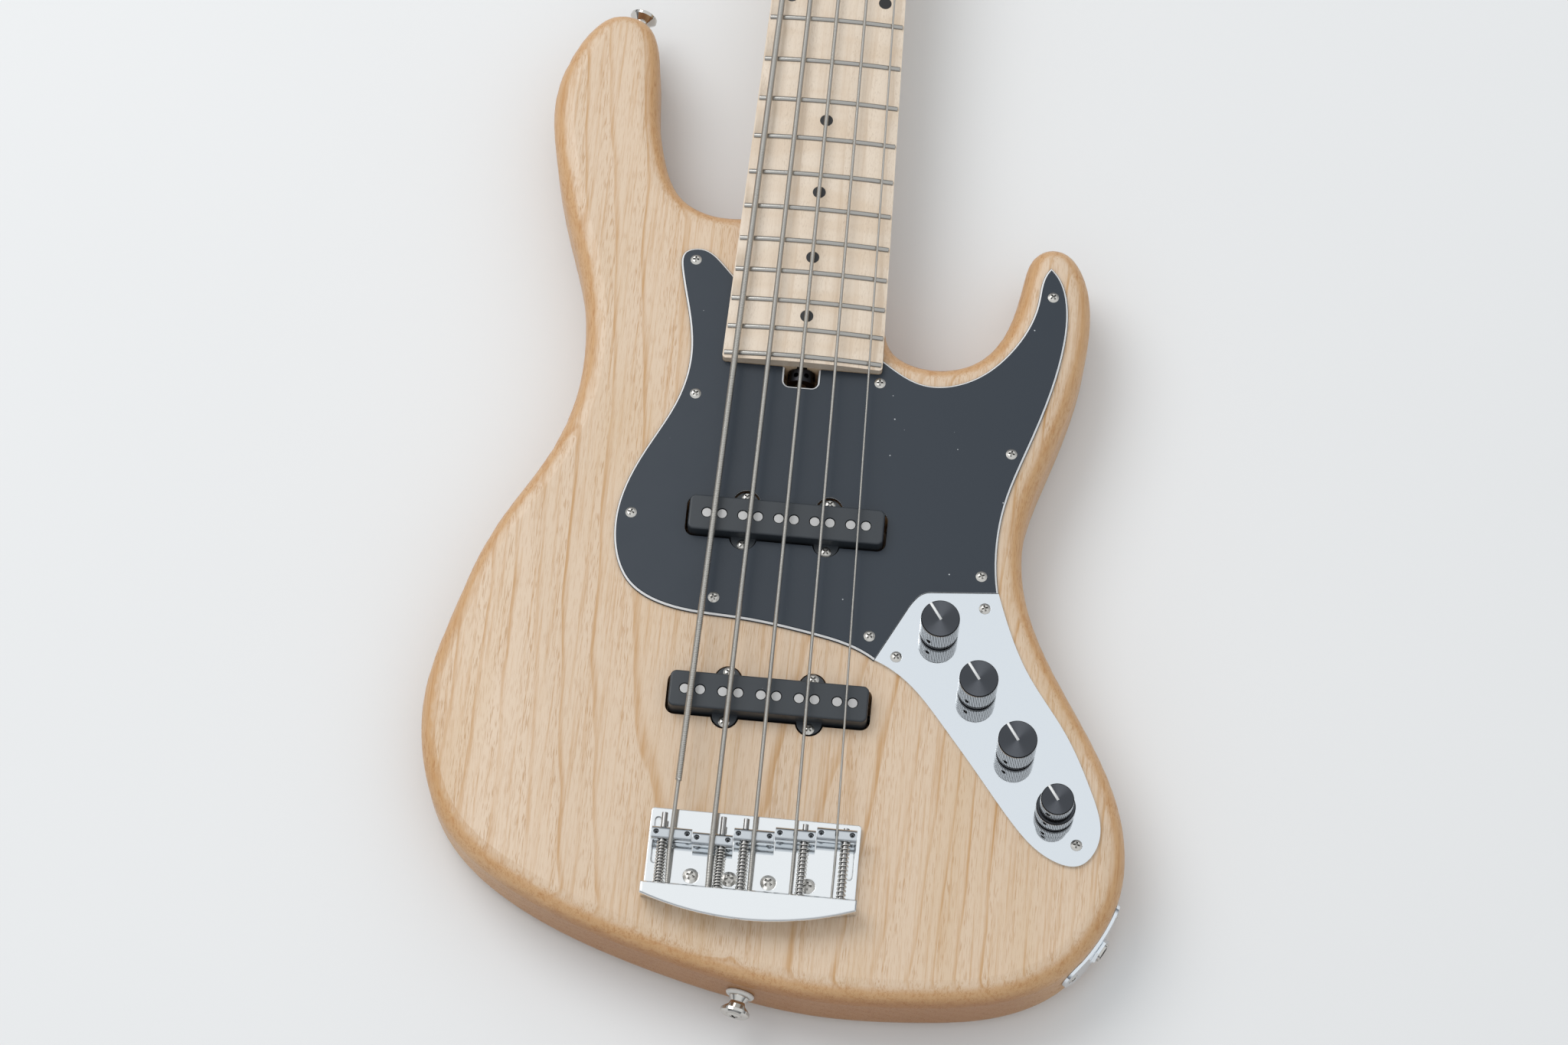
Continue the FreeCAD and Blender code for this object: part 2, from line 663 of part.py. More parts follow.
def edge_frame(near, height):
    """Point of the body's side nearest to a place, and the direction out of the wood there."""
    parameter = BODY_CURVE.parameter(V(near[0], near[1], 0))
    place = BODY_CURVE.value(parameter)
    along = V(*BODY_CURVE.tangent(parameter)[0])
    outward = V(-along.y, along.x, 0)
    return V(place.x, place.y, height), outward


def least_radius(spline):
    """Tightest radius of a closed outline."""
    count = 1500
    span = spline.LastParameter - spline.FirstParameter
    bends = [spline.curvature(spline.FirstParameter + span * n / count) for n in range(count)]
    return 1 / max(bends)


# Places of the fasteners

def body_screw_places():
    """Base point, outward direction and cross turn of each small screw in the body."""
    places = []
    for number, (x, y) in enumerate(PICKGUARD_SCREWS):
        places.append((V(x, y, PICKGUARD_TOP), UP, PICKGUARD_SCREW_TURN_STEP * number))
    for number, (x, y) in enumerate(CONTROL_SCREWS):
        turn = CONTROL_SCREW_TURN + CONTROL_SCREW_TURN_STEP * number
        places.append((V(x, y, CONTROL_TOP_Z), UP, turn))
    places += [(base, outward, JACK_SCREW_TURN) for base, outward in jack_screw_places()]
    places += [(V(x, y, BATTERY_COVER_INSET), DOWN, BATTERY_SCREW_TURN)
               for x, y in battery_screw_places()]
    return places


def battery_screw_places():
    reach = BATTERY_SIZE[0] / 2 + BATTERY_ROOM + BATTERY_COVER_MARGIN / 2
    return [(BATTERY_CENTRE[0] + side * reach, BATTERY_CENTRE[1]) for side in (-1, 1)]


def jack_screw_places():
    """Screws at both ends of the jack plate, square to the wood there."""
    place, outward = edge_frame(JACK_NEAR, JACK_HEIGHT)
    along = V(-outward.y, outward.x, 0)
    places = []
    for side in (-1, 1):
        guess = place + along * (side * JACK_SCREW_OFFSET)
        seat, normal = edge_frame((guess.x, guess.y), JACK_HEIGHT)
        places.append((seat + normal * (JACK_PLATE_THICKNESS + SEAT_CLEARANCE - JACK_PLATE_SINK), normal))
    return places


def tuner_screw_places():
    places = []
    for x, y in TUNER_POSTS:
        tab_y = NUT_Y + y - GEAR_RADIUS - TURNING_GAP - TUNER_WALL - TUNER_TAB_LENGTH / 2
        places.append(V(x, tab_y, HEAD_BACK - TUNER_WALL))
    return places


def neck_screw_places():
    first = HEEL_Y + NECK_SCREW_FROM_HEEL_END
    return [(NECK_SCREW_SHIFT_X + side * NECK_SCREW_PITCH_X / 2, first + row * NECK_SCREW_PITCH_Y)
            for side in (-1, 1) for row in (0, 1)]


def ear_screw_places(centre_y):
    return [(side * EAR_OFFSET_X, centre_y + end * EAR_SCREW_Y) for side in (-1, 1) for end in (-1, 1)]


def neck_screw_lengths():
    """Depth of the screw's seat in the ferrule and the screw's length from there."""
    seat = FERRULE_BELOW_BACK
    return seat, POCKET_FLOOR + NECK_SCREW_GRIP - seat


# Body

def tapered_block(y0, y1, z0, z1, grow, corner):
    """Block with the neck's taper, its two heel corners rounded."""
    points = [(-neck_half_width(y0) - grow, y0), (neck_half_width(y0) + grow, y0)]
    points += [(neck_half_width(y1) + grow, y1), (-neck_half_width(y1) - grow, y1)]
    block = polygon_prism(points, z0, z1)
    heel = [edge for edge in upright_edges(block) if abs(edge.BoundBox.YMin - y0) < 1e-4]
    return block.makeFillet(corner, heel)


def neck_pocket(z0, z1):
    far = max(y for x, y in BODY_OUTLINE)
    return tapered_block(HEEL_Y - POCKET_CLEARANCE, far, z0, z1, POCKET_CLEARANCE,
                         NECK_CORNER_RADIUS + POCKET_CLEARANCE)


def truss_notch(z0, z1):
    """Opening in front of the neck's end that leaves the truss wheel free."""
    half = TRUSS_WHEEL_RADIUS + TRUSS_NOTCH_MARGIN
    return rounded_box(-half, half, WHEEL_Y - TRUSS_NOTCH_REACH, HEEL_Y + 2 * TRUSS_NOTCH_CORNER, z0, z1,
                       TRUSS_NOTCH_CORNER)


def pickup_opening(centre_y, z0, z1):
    """Cover-shaped opening with its margin."""
    half = PICKUP_LENGTH / 2 + ROUT_MARGIN
    reach = PICKUP_WIDTH / 2 + ROUT_MARGIN
    return rounded_box(-half, half, centre_y - reach, centre_y + reach, z0, z1,
                       PICKUP_CORNER_RADIUS + ROUT_MARGIN)


def ear_openings(centre_y, z0, z1):
    radius = EAR_RADIUS + ROUT_MARGIN / 2
    reach = EAR_SCREW_Y - EAR_REACH
    return [pillar(side * EAR_OFFSET_X, centre_y + end * reach, z0, z1, radius)
            for side in (-1, 1) for end in (-1, 1)]


def control_cavity():
    """Long pocket with round ends under the row of knobs."""
    start = V(*knob_centre(0), 0)
    end = V(*knob_centre(3), 0)
    across = (end - start).normalize().cross(UP) * CONTROL_CAVITY_RADIUS
    corners = [start + across, end + across, end - across, start - across]
    slab = polygon_prism([(point.x, point.y) for point in corners], CAVITY_FLOOR, BODY_TOP)
    ends = [pillar(*knob_centre(n), CAVITY_FLOOR, BODY_TOP, CONTROL_CAVITY_RADIUS) for n in (0, 3)]
    return [slab] + ends


def battery_box(margin, z0, z1, corner=None):
    half_x = BATTERY_SIZE[0] / 2 + margin
    half_y = BATTERY_SIZE[1] / 2 + margin
    x, y = BATTERY_CENTRE
    if corner is None:
        return box(x - half_x, x + half_x, y - half_y, y + half_y, z0, z1)
    return rounded_box(x - half_x, x + half_x, y - half_y, y + half_y, z0, z1, corner)


def battery_cover_top():
    return BATTERY_COVER_INSET + BATTERY_COVER_THICKNESS


def lead_runs():
    """Straight drilled ways for the leads: from, to."""
    rout_z = ROUT_FLOOR + LEAD_RADIUS + 2 * LEAD_CLEARANCE
    low_z = CAVITY_FLOOR + CONTROL_CAVITY_DEPTH / 4
    place, outward = edge_frame(JACK_NEAR, JACK_HEIGHT)
    cup = place - outward * (JACK_CUP_DEPTH - JACK_CUP_RADIUS)
    end_x = PICKUP_LENGTH / 2 - EAR_RADIUS
    beside_battery = BATTERY_CENTRE[0] + BATTERY_SIZE[0] / 2 + BATTERY_ROOM + LEAD_RADIUS
    return [
        (V(end_x, NECK_PICKUP_Y, rout_z), V(*knob_centre(0), rout_z)),
        (V(end_x, BRIDGE_PICKUP_Y, rout_z), V(*knob_centre(1), rout_z)),
        (cup + (V(*knob_centre(3), JACK_HEIGHT) - cup).normalize() * (JACK_CUP_RADIUS - LEAD_REACH),
         V(*knob_centre(3), JACK_HEIGHT)),
        (V(beside_battery, BATTERY_CENTRE[1], low_z), V(*knob_centre(3), low_z))]


def lead(run, radius, longer):
    """Lead along a drilled way, reaching a little way into the control cavity; longer for its hole."""
    start, end = run
    along = (end - start).normalize()
    short = CONTROL_CAVITY_RADIUS - LEAD_REACH - longer
    return rod(start - along * longer, end - along * short, radius)


def make_body():
    slab = prism([BODY_CURVE.toShape()], 0, BODY_TOP)
    slab = cleared(slab, [arm_contour()])
    edge = min(BODY_EDGE_RADIUS, 0.97 * least_radius(BODY_CURVE))
    rims = [item for item in slab.Edges if touches_side(slab, item)]
    slab = slab.makeFillet(edge, rims)
    tools = [neck_pocket(POCKET_FLOOR, BOARD_TOP)]
    tools.append(truss_notch(WHEEL_Z - TRUSS_WHEEL_RADIUS - TRUSS_NOTCH_MARGIN, BODY_TOP))
    for centre_y, pitch in PICKUPS:
        tools.append(pickup_opening(centre_y, ROUT_FLOOR, BODY_TOP))
        tools += ear_openings(centre_y, BODY_TOP - EAR_ROUT_DEPTH, BODY_TOP)
        for x, y in ear_screw_places(centre_y):
            low = EAR_TOP - PICKUP_SCREW_LENGTH - SEAT_CLEARANCE
            tools.append(pillar(x, y, low, BODY_TOP, PLATE_SCREW_RADIUS + SEAT_CLEARANCE))
    tools += control_cavity()
    tools += battery_tools()
    tools += jack_tools()
    tools += strap_tools()
    tools += [lead(run, LEAD_RADIUS + LEAD_CLEARANCE, LEAD_REACH) for run in lead_runs()]
    tools += [plate_screw_hole(base, axis) for base, axis, turn in body_screw_places()]
    for x in BRIDGE_SCREW_X:
        low = BRIDGE_TOP - BRIDGE_SCREW_LENGTH - SEAT_CLEARANCE
        tools.append(pillar(x, BRIDGE_SCREW_Y, low, BODY_TOP, BRIDGE_SCREW_RADIUS + SEAT_CLEARANCE))
    for x, y in neck_screw_places():
        tools.append(pillar(x, y, 0, FERRULE_BELOW_BACK + FERRULE_HEIGHT, FERRULE_RADIUS + SEAT_CLEARANCE))
        tools.append(pillar(x, y, 0, POCKET_FLOOR, NECK_SCREW_RADIUS + SEAT_CLEARANCE))
    return [cleared(slab, tools)]


def arm_contour():
    """Wedge of wood taken off where the forearm rests: the space above a large round roller."""
    start, end = (V(x, y, 0) for x, y in ARM_CONTOUR_LINE)
    along = (end - start).normalize()
    outward = V(along.y, -along.x, 0)
    axis = V(start.x, start.y, BODY_TOP - ARM_CONTOUR_RADIUS + ARM_CONTOUR_SKIM)
    reach = ARM_CONTOUR_RADIUS
    roller = Part.makeCylinder(ARM_CONTOUR_RADIUS, 6 * reach, axis - along * (3 * reach), along)
    corners = [start - along * reach, start + along * (2 * reach)]
    corners += [corners[1] + outward * (0.8 * reach), corners[0] + outward * (0.8 * reach)]
    flat = [(point.x, point.y) for point in corners]
    return polygon_prism(flat, BODY_TOP / 2, BODY_TOP + BODY_EDGE_RADIUS).cut(roller)


def touches_side(solid, edge):
    """True for an edge of the body's upright side wall."""
    if abs(edge.tangentAt(edge.FirstParameter).z) > 0.9:
        return False
    middle = middle_of(edge)
    faces = solid.ancestorsOfType(edge, Part.Face)
    return any(abs(face.normalAt(*face.Surface.parameter(middle)).z) < 0.05 for face in faces)


def battery_tools():
    low = battery_cover_top()
    rim = BATTERY_ROOM + BATTERY_COVER_MARGIN + SEAT_CLEARANCE
    room = battery_box(BATTERY_ROOM, 0, low + BATTERY_SIZE[2] + BATTERY_ROOM)
    return [room, battery_box(rim, 0, low, BATTERY_COVER_CORNER)]


def jack_tools():
    place, outward = edge_frame(JACK_NEAR, JACK_HEIGHT)
    return [rod(place + outward * JACK_CUP_RADIUS, place - outward * JACK_CUP_DEPTH, JACK_CUP_RADIUS)]


def strap_frames():
    return [edge_frame(near, STRAP_BUTTON_HEIGHT) for near in (STRAP_TAIL_NEAR, STRAP_HORN_NEAR)]


def strap_tools():
    return [rod(place + outward, place - outward * (STRAP_SCREW_GRIP + SEAT_CLEARANCE),
                STRAP_SCREW_RADIUS + SEAT_CLEARANCE) for place, outward in strap_frames()]


# Pickguard and control plate

def control_outline():
    """Edges of the control plate's outline."""
    edges = [flat_line(CONTROL_CORNER, CONTROL_TOP)]
    lean_in = (V(*CONTROL_TOP, 0) - V(*CONTROL_CORNER, 0)).normalize()
    lean_out = (V(*CONTROL_TIP, 0) - V(*CONTROL_SHOULDER, 0)).normalize()
    edges += biarc(V(*CONTROL_TOP, 0), lean_in, V(*CONTROL_SHOULDER, 0), lean_out)
    edges.append(flat_line(CONTROL_SHOULDER, CONTROL_TIP))
    edges.append(curve(CONTROL_TAIL).toShape())
    return edges


def make_control_plate():
    plate = prism(control_outline(), BODY_TOP, CONTROL_TOP_Z)
    tools = [pillar(*knob_centre(n), BODY_TOP, CONTROL_TOP_Z, POT_BUSHING_RADIUS + SEAT_CLEARANCE)
             for n in range(4)]
    tools += [plate_screw_hole(V(x, y, CONTROL_TOP_Z), UP) for x, y in CONTROL_SCREWS]
    return [cleared(plate, tools)]


def follows(edge, outlines):
    """True for an edge whose middle lies above one of the flat outlines."""
    middle = middle_of(edge)
    shadow = Part.Vertex(middle.x, middle.y, 0)
    return any(shadow.distToShape(outline)[0] < 1e-3 for outline in outlines)


def make_pickguard():
    free = [curve(points).toShape() for points in (PICKGUARD_LEFT, PICKGUARD_RIGHT, PICKGUARD_HORN)]
    joints = [flat_line(PICKGUARD_LEFT[-1], PICKGUARD_RIGHT[0])]
    joints.append(flat_line(PICKGUARD_HORN[-1], PICKGUARD_LEFT[0]))
    sheet = prism(free + joints, BODY_TOP, PICKGUARD_TOP)
    plate = Part.Face(Part.Wire(Part.__sortEdges__(control_outline()))).makeOffset2D(PLATE_GAP)
    plate.translate(V(0, 0, BODY_TOP))
    plate = plate.extrude(V(0, 0, PICKGUARD_THICKNESS))
    notch = truss_notch(0, PICKGUARD_TOP)
    sheet = cleared(sheet, [plate, neck_pocket(BODY_TOP, PICKGUARD_TOP), notch])
    bevelled = free + rim_edges(notch, 0)
    rims = [edge for edge in rim_edges(sheet, PICKGUARD_TOP) if follows(edge, bevelled)]
    sheet = sheet.makeChamfer(PICKGUARD_BEVEL, rims)
    tools = [pickup_opening(NECK_PICKUP_Y, BODY_TOP, PICKGUARD_TOP)]
    tools += ear_openings(NECK_PICKUP_Y, BODY_TOP, PICKGUARD_TOP)
    tools += [plate_screw_hole(V(x, y, PICKGUARD_TOP), UP) for x, y in PICKGUARD_SCREWS]
    return [cleared(sheet, tools)]


def make_plate_screws():
    screws = [plate_screw(base, axis, turn) for base, axis, turn in body_screw_places()]
    return screws + [plate_screw(base, DOWN) for base in tuner_screw_places()]


# Neck

def neck_section(y, depth):
    """Flat-topped half ellipse across the neck."""
    half = neck_half_width(y)
    centre = V(0, y, NECK_TOP)
    ellipse = Part.Ellipse(centre + V(half, 0, 0), centre - V(0, 0, depth), centre)
    lower = Part.ArcOfEllipse(ellipse, 0, math.pi).toShape()
    ends = lower.valueAt(lower.LastParameter), lower.valueAt(lower.FirstParameter)
    return Part.Wire([lower, Part.LineSegment(*ends).toShape()])


def head_profile():
    """Side view of the head: flat face with a scoop behind the nut, back ramping down from the neck."""
    ledge = NUT_Y + NUT_LENGTH
    start = NUT_Y - HEAD_BACK_RAMP_LENGTH / 2
    ramp_end = start + HEAD_BACK_RAMP_LENGTH
    tip = NUT_Y + HEAD_LENGTH
    drop = NECK_TOP - HEAD_FACE
    scoop_end = ledge + HEAD_SCOOP_LENGTH
    scoop = (HEAD_SCOOP_LENGTH ** 2 + drop ** 2) / (2 * drop)
    lean = math.asin(HEAD_SCOOP_LENGTH / scoop) / 2
    scoop_middle = V(0, scoop_end - scoop * math.sin(lean), HEAD_FACE + scoop * (1 - math.cos(lean)))
    fall = (NECK_TOP - NECK_DEPTH_AT_NUT / 3) - HEAD_BACK
    ramp = (HEAD_BACK_RAMP_LENGTH ** 2 + fall ** 2) / (2 * fall)
    slant = math.asin(HEAD_BACK_RAMP_LENGTH / ramp) / 2
    ramp_middle = V(0, ramp_end - ramp * math.sin(slant), HEAD_BACK + ramp * (1 - math.cos(slant)))
    corners = [V(0, start, HEAD_BACK + fall), V(0, start, NECK_TOP), V(0, ledge, NECK_TOP)]
    edges = Part.makePolygon(corners).Edges
    edges.append(Part.Arc(corners[2], scoop_middle, V(0, scoop_end, HEAD_FACE)).toShape())
    edges.append(line((0, scoop_end, HEAD_FACE), (0, tip, HEAD_FACE)))
    edges.append(line((0, tip, HEAD_FACE), (0, tip, HEAD_BACK)))
    edges.append(line((0, tip, HEAD_BACK), (0, ramp_end, HEAD_BACK)))
    edges.append(Part.Arc(V(0, ramp_end, HEAD_BACK), ramp_middle, corners[0]).toShape())
    face = Part.Face(Part.Wire(edges))
    width = max(x for x, y in HEAD_HALF_OUTLINE)
    face.translate(V(-2 * width, 0, 0))
    return face.extrude(V(4 * width, 0, 0))


def head_block():
    right = [(x, NUT_Y + y) for x, y in HEAD_HALF_OUTLINE]
    left = [(-x, y) for x, y in reversed(right)]
    outline = curve(right + [(0, NUT_Y + HEAD_LENGTH)] + left).toShape()
    plan = prism([outline, flat_line(left[-1], right[0])], HEAD_BACK, NECK_TOP)
    return plan.common(head_profile())


def truss_channel():
    radius = TRUSS_ROD_RADIUS + SEAT_CLEARANCE
    end = NUT_Y - TRUSS_ROD_SHORT_OF_NUT + SEAT_CLEARANCE
    bottom = rod(V(0, HEEL_Y, WHEEL_Z), V(0, end, WHEEL_Z), radius)
    return [bottom, box(-radius, radius, HEEL_Y, end, WHEEL_Z, NECK_TOP)]


def make_neck():
    heel = tapered_block(HEEL_Y, HEEL_END_Y, POCKET_FLOOR, NECK_TOP, 0, NECK_CORNER_RADIUS)
    under = rim_edges(heel, POCKET_FLOOR)
    end_edge = [edge for edge in under if abs(edge.BoundBox.YMin - HEEL_END_Y) < 1e-4]
    heel = heel.makeChamfer(HEEL_END_CHAMFER, end_edge)
    shaft_start = HEEL_END_Y - 2 * HEEL_END_CHAMFER
    sections = [neck_section(shaft_start, NECK_DEPTH_AT_HEEL), neck_section(NUT_Y, NECK_DEPTH_AT_NUT)]
    shaft = Part.makeLoft(sections, True, True)
    neck = joined([heel, shaft, head_block()])
    tools = truss_channel()
    for x, y in neck_screw_places():
        top = POCKET_FLOOR + NECK_SCREW_GRIP + SEAT_CLEARANCE
        tools.append(pillar(x, y, POCKET_FLOOR, top, NECK_SCREW_RADIUS + SEAT_CLEARANCE))
    for x, y in TUNER_POSTS:
        tools.append(pillar(x, NUT_Y + y, HEAD_BACK, HEAD_FACE, POST_RADIUS + TURNING_GAP))
        tools.append(pillar(x, NUT_Y + y, HEAD_FACE - BUSHING_DEPTH - SEAT_CLEARANCE, HEAD_FACE,
                            BUSHING_RADIUS + SEAT_CLEARANCE))
    tools += [plate_screw_hole(base, DOWN) for base in tuner_screw_places()]
    return [cleared(neck, tools)]


def board_roller(radius):
    """Cylinder whose upper side is the fretboard's arch."""
    low = BOARD_TOP - BOARD_RADIUS
    return rod(V(0, HEEL_Y - NUT_LENGTH, low), V(0, NUT_Y + 2 * NUT_LENGTH, low), radius)


def fret_bar(number, grow):
    """Fret with crown and tang, bent to the fretboard's arch; grown for its slot."""
    y = fret_y(number)
    tang = FRET_TANG_WIDTH / 2 + grow
    base = BOARD_TOP + SEAT_CLEARANCE / 2
    low = BOARD_TOP - FRET_TANG_DEPTH - grow
    half = FRET_CROWN_WIDTH / 2
    crown = Part.Arc(V(0, y - half, base), V(0, y, FRET_TOP), V(0, y + half, base)).toShape()
    corners = [V(0, y + half, base), V(0, y + tang, base), V(0, y + tang, low), V(0, y - tang, low)]
    corners += [V(0, y - tang, base), V(0, y - half, base)]
    face = Part.Face(Part.Wire([crown] + Part.makePolygon(corners).Edges))
    reach = neck_half_width(y) - FRET_END_INSET + 4 * grow
    turn = math.degrees(math.asin(reach / BOARD_RADIUS))
    centre = V(0, y, BOARD_TOP - BOARD_RADIUS)
    face.rotate(centre, FORWARD, -turn)
    return face.revolve(centre, FORWARD, 2 * turn)


def dot_places():
    places = []
    for number in SINGLE_DOT_FRETS:
        places.append((0.0, (fret_y(number) + fret_y(number - 1)) / 2))
    middle = (fret_y(DOUBLE_DOT_FRET) + fret_y(DOUBLE_DOT_FRET - 1)) / 2
    places += [(side * neck_half_width(middle) * DOUBLE_DOT_OFFSET / neck_half_width(NUT_Y / 2), middle)
               for side in (-1, 1)]
    return places


def dot_bottom(x):
    return BOARD_TOP - crown_drop(abs(x) + DOT_RADIUS, BOARD_RADIUS) - DOT_DEPTH


def make_fretboard():
    board = tapered_block(HEEL_Y, NUT_Y, NECK_TOP, BOARD_TOP, 0, NECK_CORNER_RADIUS)
    board = board.common(board_roller(BOARD_RADIUS))
    tools = [fret_bar(number, SEAT_CLEARANCE) for number in range(1, FRET_COUNT + 1)]
    tools += [pillar(x, y, dot_bottom(x) - SEAT_CLEARANCE, BOARD_TOP, DOT_RADIUS + SEAT_CLEARANCE)
              for x, y in dot_places()]
    return [cleared(board, tools)]


def make_frets():
    return [fret_bar(number, 0.0) for number in range(1, FRET_COUNT + 1)]


def make_fret_markers():
    return [pillar(x, y, dot_bottom(x), BOARD_TOP, DOT_RADIUS).common(board_roller(BOARD_RADIUS))
            for x, y in dot_places()]


def make_nut():
    half = NECK_WIDTH_AT_NUT / 2
    top = string_at_nut(len(STRING_DIAMETERS) // 2).z + STRING_DIAMETERS[0] / 2 + NUT_ABOVE_STRINGS
    nut = box(-half, half, NUT_Y, NUT_Y + NUT_LENGTH, NECK_TOP, top)
    nut = nut.common(board_roller(BOARD_RADIUS + top - BOARD_TOP))
    return [cleared(nut, [string_tube(index, SEAT_CLEARANCE, False) for index in STRINGS] + nut_slots())]


def nut_slots():
    """Slots above the strings, open at the top."""
    slots = []
    for index in STRINGS:
        rest = string_at_nut(index)
        half = STRING_DIAMETERS[index] / 2 + SEAT_CLEARANCE
        end = NUT_Y + NUT_LENGTH
        slots.append(box(rest.x - half, rest.x + half, NUT_Y, end, rest.z, rest.z + HEEL_THICKNESS))
    return slots


def make_truss_rod():
    start = V(0, WHEEL_Y, WHEEL_Z)
    return [rod(start, V(0, NUT_Y - TRUSS_ROD_SHORT_OF_NUT, WHEEL_Z), TRUSS_ROD_RADIUS)]


def make_truss_wheel():
    centre = V(0, WHEEL_Y, WHEEL_Z)
    wheel = rod(centre, V(0, WHEEL_END_Y, WHEEL_Z), TRUSS_WHEEL_RADIUS)
    tools = [rod(centre - FORWARD, V(0, HEEL_Y, WHEEL_Z), TRUSS_ROD_RADIUS + RUNNING_CLEARANCE)]
    middle = centre + FORWARD * (TRUSS_WHEEL_LENGTH / 2)
    deep = TRUSS_ROD_RADIUS + RUNNING_CLEARANCE + TRUSS_WHEEL_HOLE_RADIUS
    for number in range(TRUSS_WHEEL_HOLES):
        angle = 2 * math.pi * (number + 0.5) / TRUSS_WHEEL_HOLES
        out = V(math.sin(angle), 0, math.cos(angle))
        far = 2 * TRUSS_WHEEL_RADIUS
        tools.append(rod(middle + out * deep, middle + out * far, TRUSS_WHEEL_HOLE_RADIUS))
    return [cleared(wheel, tools)]


def make_neck_ferrules():
    seat, length = neck_screw_lengths()
    rings = []
    for x, y in neck_screw_places():
        ring = pillar(x, y, seat, seat + FERRULE_HEIGHT, FERRULE_RADIUS)
        hole = screw_hole(V(x, y, seat), DOWN, NECK_SCREW_HEAD_RADIUS, FERRULE_HEIGHT / 2,
                          NECK_SCREW_RADIUS, length)
        rings.append(ring.cut(hole))
    return rings


def make_neck_screws():
    seat, length = neck_screw_lengths()
    return [screw(V(x, y, seat), DOWN, NECK_SCREW_HEAD_RADIUS, seat / 2, FERRULE_HEIGHT / 2,
                  NECK_SCREW_RADIUS, length, NECK_SCREW_TURN) for x, y in neck_screw_places()]


# Pickups

def make_pickup_cover(centre_y, pitch):
    half = PICKUP_LENGTH / 2
    reach = PICKUP_WIDTH / 2
    shell = rounded_box(-half, half, centre_y - reach, centre_y + reach, PICKUP_BOTTOM, PICKUP_TOP,
                        PICKUP_CORNER_RADIUS)
    shell = shell.makeFillet(PICKUP_TOP_RADIUS, rim_edges(shell, PICKUP_TOP))
    ear_low = EAR_TOP - EAR_THICKNESS
    ears = [pillar(side * EAR_OFFSET_X, centre_y + end * reach, ear_low, EAR_TOP, EAR_RADIUS)
            for side in (-1, 1) for end in (-1, 1)]
    shell = joined([shell] + ears)
    hollow = box(-half + PICKUP_WALL, half - PICKUP_WALL, centre_y - reach + PICKUP_WALL,
                 centre_y + reach - PICKUP_WALL, PICKUP_BOTTOM, PICKUP_TOP - PICKUP_WALL)
    tools = [hollow]
    tools += [pillar(x, centre_y, PICKUP_BOTTOM, PICKUP_TOP, POLE_HOLE_RADIUS) for x in pole_places(pitch)]
    tools += [plate_screw_hole(V(x, y, EAR_TOP), UP) for x, y in ear_screw_places(centre_y)]
    return cleared(shell, tools)


def pole_places(pitch):
    middle = (len(STRING_DIAMETERS) - 1) / 2
    half = POLE_PAIR_SPACING / 2
    return [(index - middle) * pitch + side * half for index in STRINGS for side in (-1, 1)]


def bobbin_levels():
    """Lower and upper height of the coil, resting on its plate."""
    low = PICKUP_BOTTOM + BOBBIN_PLATE
    return low, low + COIL_HEIGHT


def make_pickup_covers():
    return [make_pickup_cover(centre_y, pitch) for centre_y, pitch in PICKUPS]


def make_pickup_poles():
    low = PICKUP_BOTTOM
    return [pillar(x, centre_y, low, PICKUP_TOP - POLE_RECESS, POLE_RADIUS)
            for centre_y, pitch in PICKUPS for x in pole_places(pitch)]


def make_pickup_coils():
    """Bobbin plate and wire coil of each pickup."""
    low, high = bobbin_levels()
    solids = []
    for centre_y, pitch in PICKUPS:
        edge = max(pole_places(pitch)) + POLE_RADIUS + SEAT_CLEARANCE
        inside = POLE_RADIUS + SEAT_CLEARANCE
        outer = rounded_box(-edge - COIL_WIDTH, edge + COIL_WIDTH, centre_y - inside - COIL_WIDTH,
                            centre_y + inside + COIL_WIDTH, low, high, inside)
        solids.append(outer.cut(box(-edge, edge, centre_y - inside, centre_y + inside, low, high)))
        half = PICKUP_LENGTH / 2 - PICKUP_WALL - SEAT_CLEARANCE
        reach = PICKUP_WIDTH / 2 - PICKUP_WALL - SEAT_CLEARANCE
        plate = box(-half, half, centre_y - reach, centre_y + reach, PICKUP_BOTTOM, low)
        holes = [pillar(x, centre_y, PICKUP_BOTTOM, low, inside) for x in pole_places(pitch)]
        solids.append(cleared(plate, holes))
    return solids


def make_pickup_foam():
    half = PICKUP_LENGTH / 2 - 2 * EAR_RADIUS
    reach = PICKUP_WIDTH / 2 - PICKUP_WALL
    return [box(-half, half, centre_y - reach, centre_y + reach, ROUT_FLOOR, PICKUP_BOTTOM)
            for centre_y, pitch in PICKUPS]


def make_pickup_screws():
    return [screw(V(x, y, EAR_TOP), UP, PLATE_SCREW_HEAD_RADIUS, PLATE_SCREW_DOME, PLATE_SCREW_CONE,
                  PLATE_SCREW_RADIUS, PICKUP_SCREW_LENGTH, PICKUP_SCREW_TURN)
            for centre_y, pitch in PICKUPS for x, y in ear_screw_places(centre_y)]


# Bridge

def make_bridge_plate():
    half = BRIDGE_WIDTH / 2
    plate = box(-half, half, BLOCK_FRONT_Y, BRIDGE_FRONT, BODY_TOP, BRIDGE_TOP)
    front = [edge for edge in upright_edges(plate) if edge.BoundBox.YMin > 0]
    plate = plate.makeFillet(BRIDGE_CORNER_RADIUS, front)
    bridge = joined([plate, bridge_block()])
    tools = []
    for x in BRIDGE_SCREW_X:
        tools.append(screw_hole(V(x, BRIDGE_SCREW_Y, BRIDGE_TOP), UP, BRIDGE_SCREW_HEAD_RADIUS,
                                BRIDGE_SCREW_CONE, BRIDGE_SCREW_RADIUS, BRIDGE_SCREW_LENGTH))
    for index in STRINGS:
        tools += block_holes(index)
    for side in (-1, 1):
        tools.append(guide_groove(side))
    return [cleared(bridge, tools)]


